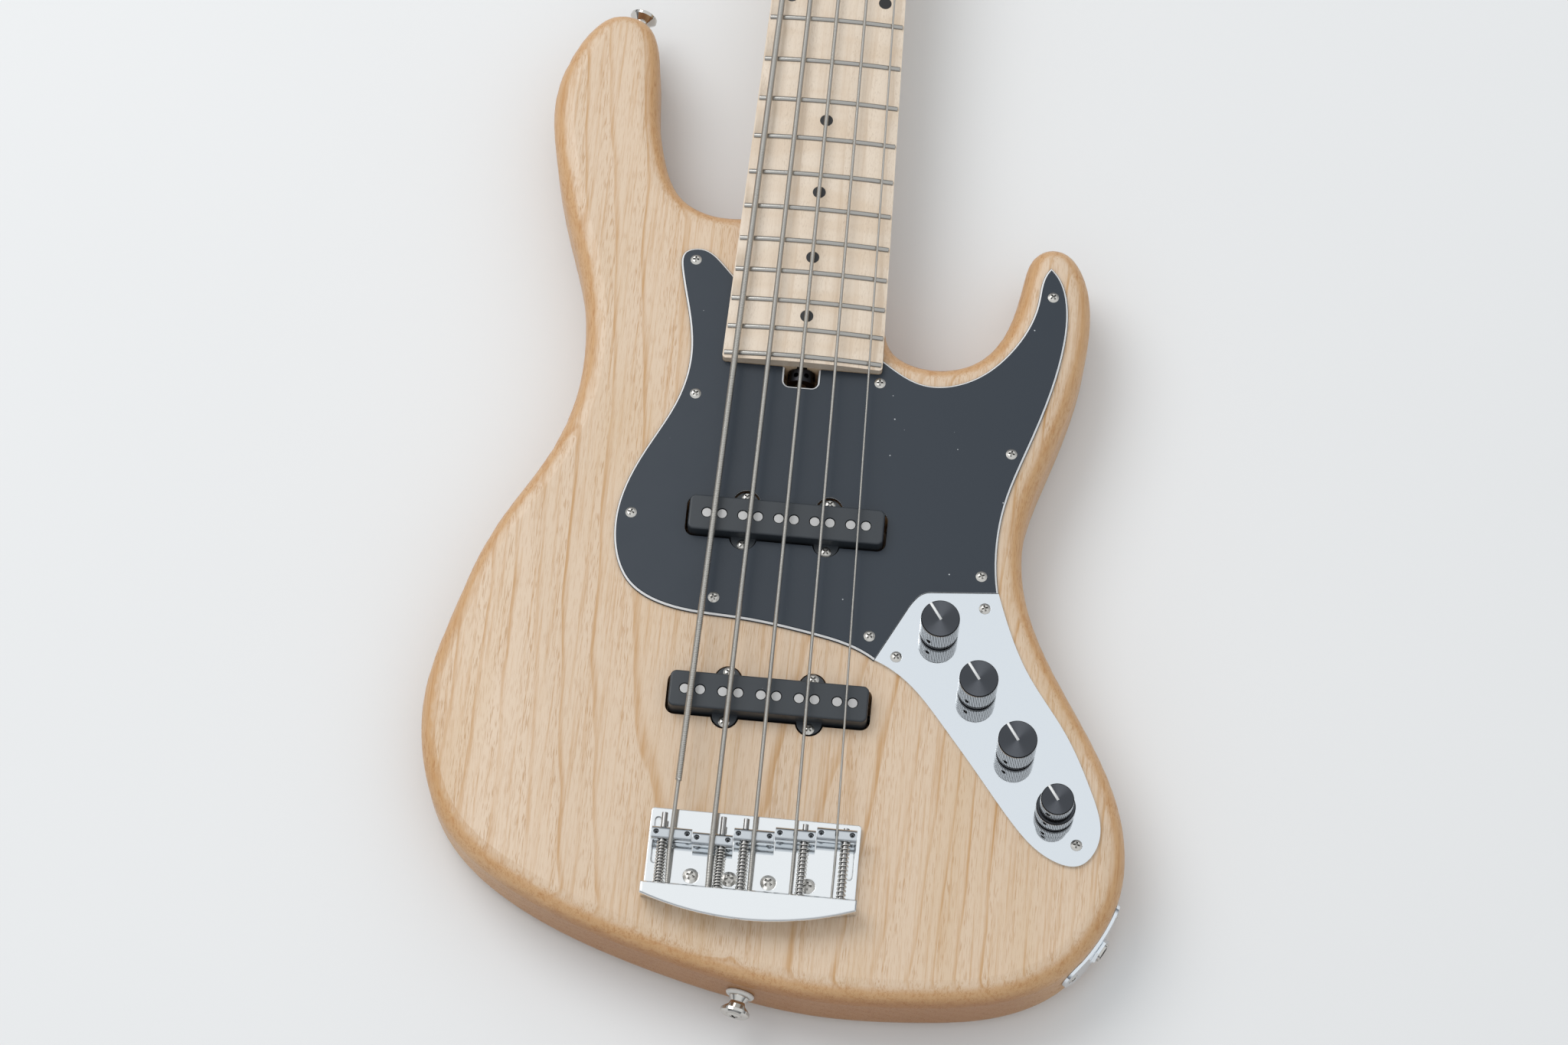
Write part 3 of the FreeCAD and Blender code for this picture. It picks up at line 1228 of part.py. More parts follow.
def block_outline(end_depth, middle_depth, z):
    """Closed outline of the rear block at one height: straight in front, bowed behind."""
    end = BLOCK_WIDTH / 2
    near = V(end, BLOCK_FRONT_Y, z)
    far = V(end, BLOCK_FRONT_Y - end_depth, z)
    near_left = V(-end, BLOCK_FRONT_Y, z)
    far_left = V(-end, BLOCK_FRONT_Y - end_depth, z)
    rear = Part.Arc(far_left, V(0, BLOCK_FRONT_Y - middle_depth, z), far).toShape()
    corners = (far, near, near_left, far_left)
    sides = [Part.LineSegment(*pair).toShape() for pair in zip(corners, corners[1:])]
    return Part.Wire([rear] + sides)


def bridge_block():
    """Rear block: an upright lip over a foot that slopes in towards the body."""
    lip_low = BLOCK_TOP - BLOCK_LIP
    lip = Part.Face(block_outline(BLOCK_END_DEPTH, BLOCK_MIDDLE_DEPTH, lip_low)).extrude(V(0, 0, BLOCK_LIP))
    lip = lip.makeChamfer(BLOCK_CHAMFER, rim_edges(lip, BLOCK_TOP))
    under = block_outline(BLOCK_END_DEPTH - BLOCK_UNDERCUT_END, BLOCK_MIDDLE_DEPTH - BLOCK_UNDERCUT_MIDDLE,
                          BODY_TOP)
    foot = Part.makeLoft([under, block_outline(BLOCK_END_DEPTH, BLOCK_MIDDLE_DEPTH, lip_low)], True, True)
    return joined([foot, lip])


def guide_groove(side):
    """Groove that keeps an outer saddle's foot in line."""
    x = side * (saddle_x(len(STRING_DIAMETERS) - 1) + HEIGHT_SCREW_OFFSET)
    half = GUIDE_GROOVE_WIDTH / 2
    low = BRIDGE_TOP - GUIDE_GROOVE_DEPTH
    return rounded_box(x - half, x + half, -GUIDE_GROOVE_BACK, GUIDE_GROOVE_FRONT, low, BRIDGE_TOP + half,
                       half * 0.98)


def intonation_axis(index, y):
    return V(saddle_x(index) + INTONATION_OFFSETS[index], y, saddle_z(index))


def ball_centre(index, y):
    return V(saddle_x(index), y, saddle_z(index) - STRING_HOLE_BELOW_AXIS)


def block_holes(index):
    """Ways through the rear block for one intonation screw and one string, with recesses behind."""
    back = BLOCK_FRONT_Y - 2 * BLOCK_MIDDLE_DEPTH
    shank = INTONATION_RADIUS + RUNNING_CLEARANCE
    holes = [rod(intonation_axis(index, BLOCK_FRONT_Y), intonation_axis(index, back), shank)]
    head = INTONATION_HEAD_RADIUS + HEAD_RECESS_CLEARANCE
    holes.append(rod(intonation_axis(index, RECESS_Y), intonation_axis(index, back), head))
    ball = BALL_RADIUS + HEAD_RECESS_CLEARANCE
    holes.append(rod(ball_centre(index, RECESS_Y), ball_centre(index, back), ball))
    corners, wraps = string_route(index)
    holes.append(rod(corners[0], corners[1], end_radius(index) + STRING_CLEARANCE))
    return holes


def make_bridge_screws():
    return [screw(V(x, BRIDGE_SCREW_Y, BRIDGE_TOP), UP, BRIDGE_SCREW_HEAD_RADIUS, PLATE_SCREW_DOME,
                  BRIDGE_SCREW_CONE, BRIDGE_SCREW_RADIUS, BRIDGE_SCREW_LENGTH, BRIDGE_SCREW_TURN_PER_MM * x)
            for x in BRIDGE_SCREW_X]


def make_saddle(index):
    """Barrel with its groove and cross holes, and its two height screws."""
    x = saddle_x(index)
    y = SADDLE_CRESTS[index]
    z = saddle_z(index)
    half = SADDLE_LENGTH / 2
    barrel = rod(V(x - half, y, z), V(x + half, y, z), SADDLE_RADIUS)
    rest = string_at_saddle(index)
    through = FORWARD * SADDLE_LENGTH
    tools = [rod(rest - through, rest + through, end_radius(index) + STRING_CLEARANCE)]
    shank = intonation_axis(index, y)
    tools.append(rod(shank - through, shank + through, INTONATION_RADIUS + RUNNING_CLEARANCE))
    screws = []
    for side in (-1, 1):
        screw_x = x + side * HEIGHT_SCREW_OFFSET
        hole = HEIGHT_SCREW_RADIUS + SEAT_CLEARANCE
        tools.append(pillar(screw_x, y, z - 2 * SADDLE_RADIUS, z + 2 * SADDLE_RADIUS, hole))
        foot = BRIDGE_TOP + HEIGHT_SCREW_FOOT_GAP
        if (index == 0 and side < 0) or (index == len(STRING_DIAMETERS) - 1 and side > 0):
            foot -= GUIDE_GROOVE_DEPTH
        top = z + HEIGHT_SCREW_ABOVE_AXIS
        grub = pillar(screw_x, y, foot, top, HEIGHT_SCREW_RADIUS)
        screws.append(grub.cut(hexagon(screw_x, y, top - HEIGHT_SCREW_SOCKET, top, HEIGHT_SCREW_SOCKET)))
    return [cleared(barrel, tools)] + screws


def make_intonation_screw(index):
    """Screw from its head behind the block to its tip in front of the saddle."""
    head_front = RECESS_Y - SEAT_CLEARANCE
    head_back = head_front - INTONATION_HEAD_LENGTH
    neck = intonation_axis(index, head_front)
    centre = intonation_axis(index, head_back)
    shank = rod(neck, intonation_axis(index, INTONATION_TIP_Y), INTONATION_RADIUS)
    head = rod(centre, neck, INTONATION_HEAD_RADIUS)
    half = CROSS_SPAN_SHARE * INTONATION_HEAD_RADIUS / 2
    wide = CROSS_WIDTH_SHARE * INTONATION_HEAD_RADIUS / 2
    deep = INTONATION_HEAD_LENGTH / 2
    slots = [box(centre.x - a, centre.x + a, head_back - 1, head_back + deep, centre.z - b, centre.z + b)
             for a, b in ((half, wide), (wide, half))]
    return [cleared(joined([shank, head]), slots)]


def spring_path(index):
    """Centre line of the spring between a saddle and the block, with short straight ends."""
    front = SADDLE_CRESTS[index] - SADDLE_RADIUS - SPRING_WIRE_RADIUS - TURNING_GAP
    back = BLOCK_FRONT_Y + SPRING_WIRE_RADIUS + SPRING_END_GAP
    pitch = (front - back) / SPRING_TURNS
    centre = intonation_axis(index, front)
    across = V(1, 0, 0)
    points, directions, edges = winding(centre, FORWARD * -1, across, SPRING_RADIUS, pitch, SPRING_TURNS, 1)
    run = 2 * SPRING_WIRE_RADIUS
    lead_in = [Part.LineSegment(points[0] - directions[0] * run, points[0]).toShape()]
    lead_out = [Part.LineSegment(points[-1], points[-1] + directions[-1] * run).toShape()]
    return lead_in + edges + lead_out


def make_intonation_springs():
    return [tube(spring_path(index), SPRING_WIRE_RADIUS) for index in STRINGS]


# Strings

def wrap_frame(index):
    """Where a string meets its tuner post: centre, radius, touching point, direction and sense."""
    x, y = TUNER_POSTS[index]
    centre = V(x, NUT_Y + y, 0)
    radius = POST_RADIUS + WRAP_CLEARANCE + STRING_DIAMETERS[index] / 2
    leave = string_at_nut(index) + FORWARD * NUT_LENGTH
    back = V(leave.x - centre.x, leave.y - centre.y, 0)
    sense = 1 if x < 0 else -1
    swing = math.degrees(math.acos(radius / back.Length)) * sense
    out = FreeCAD.Rotation(UP, swing).multVec(back).normalize()
    low = HEAD_FACE + BUSHING_FLANGE_HEIGHT + STRING_DIAMETERS[index] / 2 + WRAP_GAP
    return V(centre.x, centre.y, low), radius, out, sense


def string_route(index):
    """Corners of the string from its ball end to the tuner post, and the winding on the post."""
    ball = ball_centre(index, RECESS_Y - BALL_LENGTH / 2)
    over = string_at_saddle(index)
    rest = string_at_nut(index)
    bend_y = over.y - STRING_BEND_BEHIND_SADDLE
    slope = (rest.z - over.z) / (rest.y - over.y)
    drift = (rest.x - over.x) / (rest.y - over.y)
    bend = V(over.x + drift * (bend_y - over.y), bend_y, over.z + slope * (bend_y - over.y))
    leave = rest + V(0, NUT_LENGTH / 2, 0)
    centre, radius, out, sense = wrap_frame(index)
    pitch = STRING_DIAMETERS[index] + WRAP_GAP
    points, directions, edges = winding(centre, UP, out, radius, pitch, WRAP_TURNS[index], sense)
    approach = points[0] - directions[0] * (2.2 * radius)
    corners = [ball, bend, leave, approach, points[0]]
    tail = points[-1] + directions[-1] * STRING_DIAMETERS[index]
    return corners, edges + [Part.LineSegment(points[-1], tail).toShape()]


def string_tube(index, grow, whole=True):
    """A string, or only its straight stretch over the nut, grown for its slot."""
    radius = STRING_DIAMETERS[index] / 2 + grow
    corners, wraps = string_route(index)
    if not whole:
        start = corners[2] - (corners[2] - corners[1]).normalize() * 20
        return tube(bent_path([start, corners[2], corners[3]], STRING_BEND_RADIUS), radius)
    path = bent_path(corners, STRING_BEND_RADIUS)
    if index > 0:
        return tube(path + wraps, radius)
    span = corners[2] - corners[1]
    taper = corners[1] + span * ((LOW_STRING_TAPER_Y - corners[1].y) / span.y)
    inside = taper + V(span).normalize() * radius
    thin = tube(bent_path([corners[0], corners[1], inside], STRING_BEND_RADIUS), end_radius(index))
    thick = tube(bent_path([taper] + corners[2:], STRING_BEND_RADIUS) + wraps, radius)
    return joined([thin, thick])


def make_strings():
    solids = []
    for index in STRINGS:
        back = ball_centre(index, RECESS_Y - SEAT_CLEARANCE - BALL_LENGTH)
        ball = rod(back, ball_centre(index, RECESS_Y - SEAT_CLEARANCE), BALL_RADIUS)
        solids.append(joined([string_tube(index, 0.0), ball]))
    return solids


# Tuners

def gear_outline(x, y):
    """Toothed wheel as a flat polygon."""
    points = []
    for step in range(4 * GEAR_TEETH):
        radius = GEAR_RADIUS if step % 4 < 2 else GEAR_RADIUS - GEAR_TOOTH_DEPTH
        angle = 2 * math.pi * step / (4 * GEAR_TEETH)
        points.append((x + radius * math.cos(angle), y + radius * math.sin(angle)))
    return points


def tuner_sides(index):
    """Post centre, side of the head that the key is on, and worm height."""
    x, y = TUNER_POSTS[index]
    return x, NUT_Y + y, (-1 if x < 0 else 1)


def tuner_levels():
    """Bottom of the gear's pivot and of the housing."""
    gear_low = GEAR_Z - GEAR_THICKNESS / 2
    return gear_low, gear_low - TURNING_GAP - TUNER_WALL


def make_tuner_post(index):
    x, y, side = tuner_sides(index)
    gear_low, floor = tuner_levels()
    gear_high = GEAR_Z + GEAR_THICKNESS / 2
    top = HEAD_FACE + POST_HEIGHT
    pieces = [polygon_prism(gear_outline(x, y), gear_low, gear_high)]
    pieces.append(pillar(x, y, floor + TUNER_WALL / 2, gear_low, KEY_SHAFT_RADIUS))
    pieces.append(pillar(x, y, gear_high, HEAD_BACK + TURNING_GAP, POST_JOURNAL_RADIUS))
    pieces.append(pillar(x, y, HEAD_BACK + TURNING_GAP, top, POST_RADIUS))
    half = POST_SLOT_WIDTH / 2
    slot = box(x - half, x + half, y - 2 * POST_RADIUS, y + 2 * POST_RADIUS, top - POST_SLOT_DEPTH, top)
    bore = pillar(x, y, top - 2 * POST_SLOT_DEPTH, top, half)
    return [cleared(joined(pieces), [slot, bore])]


def make_tuner_bushings():
    rings = []
    for index in STRINGS:
        x, y, side = tuner_sides(index)
        sleeve = pillar(x, y, HEAD_FACE - BUSHING_DEPTH, HEAD_FACE + BUSHING_FLANGE_HEIGHT, BUSHING_RADIUS)
        flange = pillar(x, y, HEAD_FACE, HEAD_FACE + BUSHING_FLANGE_HEIGHT, BUSHING_FLANGE_RADIUS)
        bore = pillar(x, y, HEAD_FACE - BUSHING_DEPTH, HEAD_FACE + BUSHING_FLANGE_HEIGHT,
                      POST_RADIUS + RUNNING_CLEARANCE)
        rings.append(joined([sleeve, flange]).cut(bore))
    return rings


def make_tuner_housing(index):
    x, y, side = tuner_sides(index)
    gear_low, floor = tuner_levels()
    reach = GEAR_RADIUS + TURNING_GAP + TUNER_WALL
    worm_y = y + WORM_OFFSET
    far = worm_y + WORM_RADIUS + TURNING_GAP + TUNER_WALL
    shell = rounded_box(x - reach, x + reach, y - reach, far, floor, HEAD_BACK, TUNER_WALL)
    shell = shell.makeFillet(TUNER_WALL * 0.6, rim_edges(shell, floor))
    tab = rounded_box(x - TUNER_TAB_LENGTH / 2, x + TUNER_TAB_LENGTH / 2, y - reach - TUNER_TAB_LENGTH, y,
                      HEAD_BACK - TUNER_WALL, HEAD_BACK, TUNER_TAB_LENGTH * 0.45)
    axis = V(x, worm_y, GEAR_Z)
    out = V(side, 0, 0)
    room = WORM_RADIUS + TURNING_GAP
    shell = joined([shell, tab, rod(axis, axis + out * (reach + TUNER_WALL), room)])
    chamber = pillar(x, y, gear_low - TURNING_GAP, GEAR_Z + GEAR_THICKNESS / 2 + TURNING_GAP,
                     GEAR_RADIUS + TURNING_GAP)
    worm_end = out * (WORM_HALF_LENGTH + TURNING_GAP)
    worm_room = rod(axis - worm_end, axis + worm_end, room)
    shaft_way = rod(axis, axis + out * (3 * reach), KEY_SHAFT_RADIUS + RUNNING_CLEARANCE)
    journal_way = pillar(x, y, GEAR_Z, HEAD_BACK, POST_JOURNAL_RADIUS + RUNNING_CLEARANCE)
    pivot_low = floor + TUNER_WALL / 2 - TURNING_GAP
    pivot_way = pillar(x, y, pivot_low, GEAR_Z, KEY_SHAFT_RADIUS + RUNNING_CLEARANCE)
    tools = [chamber, worm_room, shaft_way, journal_way, pivot_way]
    tools.append(plate_screw_hole(tuner_screw_places()[index], DOWN))
    return cleared(shell, tools)


def make_tuner_housings():
    return [make_tuner_housing(index) for index in STRINGS]


def make_tuner_key(index):
    """Worm on its shaft, with an oval key on the outer end."""
    x, y, side = tuner_sides(index)
    worm_y = y + WORM_OFFSET
    axis = V(x, worm_y, GEAR_Z)
    out = V(side, 0, 0)
    edge = max(point for point, along in HEAD_HALF_OUTLINE)
    key_near = edge + KEY_STANDOFF - abs(x)
    worm = rod(axis - out * WORM_HALF_LENGTH, axis + out * WORM_HALF_LENGTH, WORM_RADIUS)
    shaft = rod(axis, axis + out * (key_near + KEY_LENGTH / 2), KEY_SHAFT_RADIUS)
    centre = axis + out * (key_near + KEY_LENGTH / 2)
    oval = Part.Ellipse(V(0, 0, 0), KEY_WIDTH / 2, KEY_LENGTH / 2).toShape()
    paddle = Part.Face(Part.Wire([oval])).extrude(V(0, 0, KEY_THICKNESS))
    paddle = paddle.makeFillet(KEY_THICKNESS * 0.4, rim_edges(paddle, 0) + rim_edges(paddle, KEY_THICKNESS))
    paddle.translate(V(0, 0, -KEY_THICKNESS / 2))
    paddle.rotate(V(0, 0, 0), UP, 90)
    paddle.translate(centre)
    return [joined([worm, shaft, paddle])]


# Controls

def make_pots():
    solids = []
    for n in range(4):
        x, y = knob_centre(n)
        high = CONTROL_TOP_Z + POT_BUSHING_ABOVE_PLATE
        can = pillar(x, y, BODY_TOP - POT_HEIGHT, BODY_TOP, POT_RADIUS)
        bushing = pillar(x, y, BODY_TOP, high, POT_BUSHING_RADIUS)
        bore = pillar(x, y, SHAFT_LOW - TURNING_GAP, high, POT_SHAFT_RADIUS + RUNNING_CLEARANCE)
        solids.append(joined([can, bushing]).cut(bore))
    return solids


def panel_nut(x, y):
    high = CONTROL_TOP_Z + PANEL_NUT_HEIGHT
    nut = hexagon(x, y, CONTROL_TOP_Z, high, PANEL_NUT_ACROSS_FLATS)
    return nut.cut(pillar(x, y, CONTROL_TOP_Z, high, POT_BUSHING_RADIUS + SEAT_CLEARANCE))


def make_panel_nuts():
    nuts = [panel_nut(*knob_centre(n)) for n in range(4)]
    place, outward = edge_frame(JACK_NEAR, JACK_HEIGHT)
    nut = hexagon(0, 0, 0, PANEL_NUT_HEIGHT, PANEL_NUT_ACROSS_FLATS)
    nut = nut.cut(pillar(0, 0, 0, PANEL_NUT_HEIGHT, JACK_SLEEVE_RADIUS + SEAT_CLEARANCE))
    nut.Placement = FreeCAD.Placement(jack_nut_seat(place, outward), FreeCAD.Rotation(UP, outward))
    return nuts + [nut]


def knob_shell(x, y, base, height, radius, recess_depth):
    """Turned knob with a groove near its base and a hollow underside."""
    low = KNOB_GROOVE_FROM_BASE
    high = low + KNOB_GROOVE_WIDTH
    inner = radius - KNOB_GROOVE_DEPTH
    profile = [(0, 0), (radius, 0), (radius, low), (inner, low), (inner, high), (radius, high)]
    profile += [(radius, height - KNOB_CHAMFER), (radius - KNOB_CHAMFER, height), (0, height)]
    knob = turned(profile, V(x, y, base), UP)
    if recess_depth:
        knob = knob.cut(pillar(x, y, base, base + recess_depth, KNOB_RECESS_RADIUS))
    return knob


def pointer_groove(x, y, top, radius):
    half = POINTER_WIDTH / 2
    groove = box(-half, half, 0, radius + 1, top - POINTER_DEPTH, top + 1)
    groove.rotate(V(0, 0, 0), UP, POINTER_TURN)
    groove.translate(V(x, y, 0))
    return groove


def knob_parts(knob, x, y, base, height, radius, shaft_radius):
    """Knob bored for its shaft and its set screw, with both of them."""
    shaft_top = base + height - KNOB_TOP_WALL
    angle = math.radians(90 + SET_SCREW_TURN)
    out = V(math.cos(angle), math.sin(angle), 0)
    centre = V(x, y, base + SET_SCREW_HEIGHT)
    tools = [pillar(x, y, base, shaft_top + SEAT_CLEARANCE, shaft_radius + SEAT_CLEARANCE)]
    tools.append(rod(centre, centre + out * (2 * radius), SET_SCREW_RADIUS + SEAT_CLEARANCE))
    tip = centre + out * (shaft_radius + SEAT_CLEARANCE)
    length = min(SET_SCREW_LENGTH, radius - shaft_radius - SET_SCREW_RADIUS)
    grub = rod(tip, tip + out * length, SET_SCREW_RADIUS)
    return [cleared(knob, tools), pillar(x, y, SHAFT_LOW, shaft_top, shaft_radius), grub]


def make_knob(index):
    x, y = knob_centre(index)
    knob = knob_shell(x, y, KNOB_BASE, KNOB_HEIGHT, KNOB_RADIUS, KNOB_RECESS_DEPTH)
    knob = knob.cut(pointer_groove(x, y, KNOB_BASE + KNOB_HEIGHT, KNOB_RADIUS))
    return knob_parts(knob, x, y, KNOB_BASE, KNOB_HEIGHT, KNOB_RADIUS, POT_SHAFT_RADIUS)


def make_stack_lower():
    """Lower knob of the stack on a hollow shaft."""
    x, y = knob_centre(3)
    knob = knob_shell(x, y, KNOB_BASE, STACK_LOWER_HEIGHT, KNOB_RADIUS, KNOB_RECESS_DEPTH)
    parts = knob_parts(knob, x, y, KNOB_BASE, STACK_LOWER_HEIGHT, KNOB_RADIUS, POT_SHAFT_RADIUS)
    top = KNOB_BASE + STACK_LOWER_HEIGHT
    inner = pillar(x, y, SHAFT_LOW, top, STACK_INNER_SHAFT_RADIUS + RUNNING_CLEARANCE)
    return [parts[0].cut(inner), parts[1].cut(inner), parts[2]]


def make_stack_upper():
    """Upper knob of the stack on the thin shaft inside the hollow one."""
    x, y = knob_centre(3)
    base = KNOB_BASE + STACK_LOWER_HEIGHT + STACK_GAP
    knob = knob_shell(x, y, base, STACK_UPPER_HEIGHT, STACK_UPPER_RADIUS, 0)
    knob = knob.cut(pointer_groove(x, y, base + STACK_UPPER_HEIGHT, STACK_UPPER_RADIUS))
    return knob_parts(knob, x, y, base, STACK_UPPER_HEIGHT, STACK_UPPER_RADIUS, STACK_INNER_SHAFT_RADIUS)


def make_preamp_board():
    start = V(*knob_centre(0), 0)
    end = V(*knob_centre(3), 0)
    middle = (start + end) * 0.5
    turn = math.degrees(math.atan2(end.y - start.y, end.x - start.x))
    top = CIRCUIT_BOARD_THICKNESS
    board = box(-BOARD_LENGTH / 2, BOARD_LENGTH / 2, -BOARD_WIDTH / 2, BOARD_WIDTH / 2, 0, top)
    long, wide, high = CIRCUIT_PART_SIZE
    chips = [box(BOARD_LENGTH * share - long / 2, BOARD_LENGTH * share + long / 2, -wide / 2, wide / 2, top,
                 top + high) for share in CIRCUIT_PART_SHARES]
    solid = joined([board] + chips)
    solid.rotate(V(0, 0, 0), UP, turn)
    solid.translate(V(middle.x, middle.y, CAVITY_FLOOR))
    return [solid]


def make_battery():
    low = battery_cover_top()
    return [battery_box(0, low, low + BATTERY_SIZE[2], BATTERY_CORNER)]


def make_battery_cover():
    cover = battery_box(BATTERY_ROOM + BATTERY_COVER_MARGIN, BATTERY_COVER_INSET, battery_cover_top(),
                        BATTERY_COVER_CORNER)
    holes = [plate_screw_hole(V(x, y, BATTERY_COVER_INSET), DOWN) for x, y in battery_screw_places()]
    return [cleared(cover, holes)]


def make_wiring():
    return [lead(run, LEAD_RADIUS, 0) for run in lead_runs()]


# Jack and strap buttons

def make_jack_plate():
    """Thin plate bent to the body's side."""
    place, outward = edge_frame(JACK_NEAR, JACK_HEIGHT)
    along = V(-outward.y, outward.x, 0)
    inner = []
    outer = []
    for step in range(-8, 9):
        guess = place + along * (step / 12 * JACK_PLATE_LENGTH)
        seat, normal = edge_frame((guess.x, guess.y), 0)
        inner.append(seat + normal * SEAT_CLEARANCE)
        outer.append(seat + normal * (SEAT_CLEARANCE + JACK_PLATE_THICKNESS))
    flat = [[(point.x, point.y) for point in row] for row in (inner, outer)]
    edges = [curve(flat[0]).toShape(), flat_line(flat[0][-1], flat[1][-1]), curve(flat[1]).toShape()]
    edges.append(flat_line(flat[1][0], flat[0][0]))
    sheet = prism(edges, JACK_HEIGHT - JACK_PLATE_WIDTH, JACK_HEIGHT + JACK_PLATE_WIDTH)
    half = JACK_PLATE_WIDTH / 2
    straight = JACK_PLATE_LENGTH / 2 - half
    deep = JACK_PLATE_LENGTH / 2
    ends = [Part.Arc(V(side * straight, -half, 0), V(side * deep, 0, 0),
                     V(side * straight, half, 0)).toShape() for side in (-1, 1)]
    sides = [flat_line((-straight, side * half), (straight, side * half)) for side in (-1, 1)]
    blank = prism(ends + sides, -deep, deep)
    turn = FreeCAD.Rotation(along, UP, outward)
    blank.Placement = FreeCAD.Placement(place, turn)
    plate = sheet.common(blank)
    far = outward * JACK_PLATE_LENGTH
    tools = [rod(place - far, place + far, JACK_SLEEVE_RADIUS + SEAT_CLEARANCE)]
    tools.append(rod(jack_nut_seat(place, outward), place + far, JACK_FLAT_SHARE * PANEL_NUT_ACROSS_FLATS))
    tools += [plate_screw_hole(base, normal) for base, normal in jack_screw_places()]
    return [cleared(plate, tools)]


def jack_nut_seat(place, outward):
    """Middle of the flat spot that the nut sits on."""
    return place + outward * (JACK_PLATE_THICKNESS + SEAT_CLEARANCE - JACK_PLATE_SINK)


def jack_mouth(place, outward):
    """Middle of the socket's open end, a little above its nut."""
    return jack_nut_seat(place, outward) + outward * (PANEL_NUT_HEIGHT + JACK_SLEEVE_SHOWS)


def make_jack_socket():
    place, outward = edge_frame(JACK_NEAR, JACK_HEIGHT)
    face = jack_mouth(place, outward)
    sleeve = rod(face, face - outward * JACK_SLEEVE_LENGTH, JACK_SLEEVE_RADIUS)
    front = place - outward * JACK_CAN_SETBACK
    can = rod(front, front - outward * JACK_CAN_LENGTH, JACK_CAN_RADIUS)
    bore = rod(face, face - outward * JACK_SLEEVE_LENGTH, JACK_BORE_RADIUS)
    return [joined([sleeve, can]).cut(bore)]


def make_strap_buttons():
    buttons = []
    waist = STRAP_BUTTON_LENGTH * STRAP_BUTTON_WAIST_SHARE
    rim = STRAP_BUTTON_LENGTH * STRAP_BUTTON_RIM_SHARE
    edge = STRAP_BUTTON_RIM_EDGE
    flare = STRAP_BUTTON_WAIST_RADIUS + STRAP_BUTTON_FLARE_OUT
    for place, outward in strap_frames():
        seat = place + outward * STRAP_FELT_THICKNESS
        hole = STRAP_SCREW_RADIUS + SEAT_CLEARANCE
        mouth = STRAP_SCREW_HEAD_RADIUS + SEAT_CLEARANCE
        cone = STRAP_SCREW_HEAD_RADIUS - STRAP_SCREW_RADIUS
        profile = [(hole, 0), (STRAP_BUTTON_BASE_RADIUS, 0), (STRAP_BUTTON_BASE_RADIUS, STRAP_BUTTON_FOOT)]
        profile += [(STRAP_BUTTON_WAIST_RADIUS, waist), (flare, waist + STRAP_BUTTON_FLARE_UP)]
        profile += [(STRAP_BUTTON_RIM_RADIUS, rim), (STRAP_BUTTON_RIM_RADIUS, STRAP_BUTTON_LENGTH - edge)]
        profile += [(STRAP_BUTTON_RIM_RADIUS - edge, STRAP_BUTTON_LENGTH), (mouth, STRAP_BUTTON_LENGTH)]
        profile += [(hole, STRAP_BUTTON_LENGTH - cone)]
        buttons.append(turned(profile, seat, outward))
    return buttons


def make_strap_screws():
    cone = STRAP_SCREW_HEAD_RADIUS - STRAP_SCREW_RADIUS
    total = STRAP_BUTTON_LENGTH + STRAP_FELT_THICKNESS
    length = total + STRAP_SCREW_GRIP
    return [screw(place + outward * total, outward, STRAP_SCREW_HEAD_RADIUS, PLATE_SCREW_DOME, cone,
                  STRAP_SCREW_RADIUS, length, STRAP_SCREW_TURN) for place, outward in strap_frames()]


def make_strap_felts():
    return [rod(place, place + outward * STRAP_FELT_THICKNESS, STRAP_FELT_RADIUS).cut(
        rod(place, place + outward * STRAP_FELT_THICKNESS, STRAP_SCREW_RADIUS + SEAT_CLEARANCE))
        for place, outward in strap_frames()]


# All pieces under the names that a person would use

PIECES = {
    "body": make_body, "pickguard": make_pickguard, "control_plate": make_control_plate,
    "plate_screws": make_plate_screws, "neck": make_neck, "fretboard": make_fretboard, "frets": make_frets,
    "fret_markers": make_fret_markers, "nut": make_nut, "truss_rod": make_truss_rod,
    "truss_rod_wheel": make_truss_wheel, "neck_ferrules": make_neck_ferrules,
    "neck_screws": make_neck_screws, "pickup_covers": make_pickup_covers,
    "pickup_poles": make_pickup_poles, "pickup_coils": make_pickup_coils, "pickup_foam": make_pickup_foam,
    "pickup_screws": make_pickup_screws, "bridge_plate": make_bridge_plate,
    "bridge_screws": make_bridge_screws, "intonation_springs": make_intonation_springs,
    "strings": make_strings, "tuner_housings": make_tuner_housings, "tuner_bushings": make_tuner_bushings,
    "pots": make_pots, "panel_nuts": make_panel_nuts, "stack_lower_knob": make_stack_lower,
    "stack_upper_knob": make_stack_upper, "preamp_board": make_preamp_board, "battery": make_battery,
    "battery_cover": make_battery_cover, "wiring": make_wiring, "jack_plate": make_jack_plate,
    "jack_socket": make_jack_socket, "strap_buttons": make_strap_buttons,
    "strap_screws": make_strap_screws, "strap_felts": make_strap_felts}
NUMBERED_PIECES = {"saddle": make_saddle, "intonation_screw": make_intonation_screw,
                   "tuner_post": make_tuner_post, "tuner_key": make_tuner_key}
KNOB_NAMES = ("volume_knob", "blend_knob", "tone_knob")


def write_piece(name, solids):
    Part.makeCompound(solids).exportStep(os.path.join("parts", name + ".step"))


def print_gaps():
    """Least gap of each wound piece to itself."""
    for index in STRINGS:
        spring = self_gap(spring_path(index), SPRING_WIRE_RADIUS, 0.25)
        corners, wraps = string_route(index)
        start = corners[4] - (corners[4] - corners[3]).normalize() * 12
        approach = [Part.LineSegment(start, corners[4]).toShape()]
        wrap = self_gap(approach + wraps, STRING_DIAMETERS[index] / 2, 0.5)
        print("string", index + 1, "spring gap", round(spring, 3), "winding gap", round(wrap, 3))


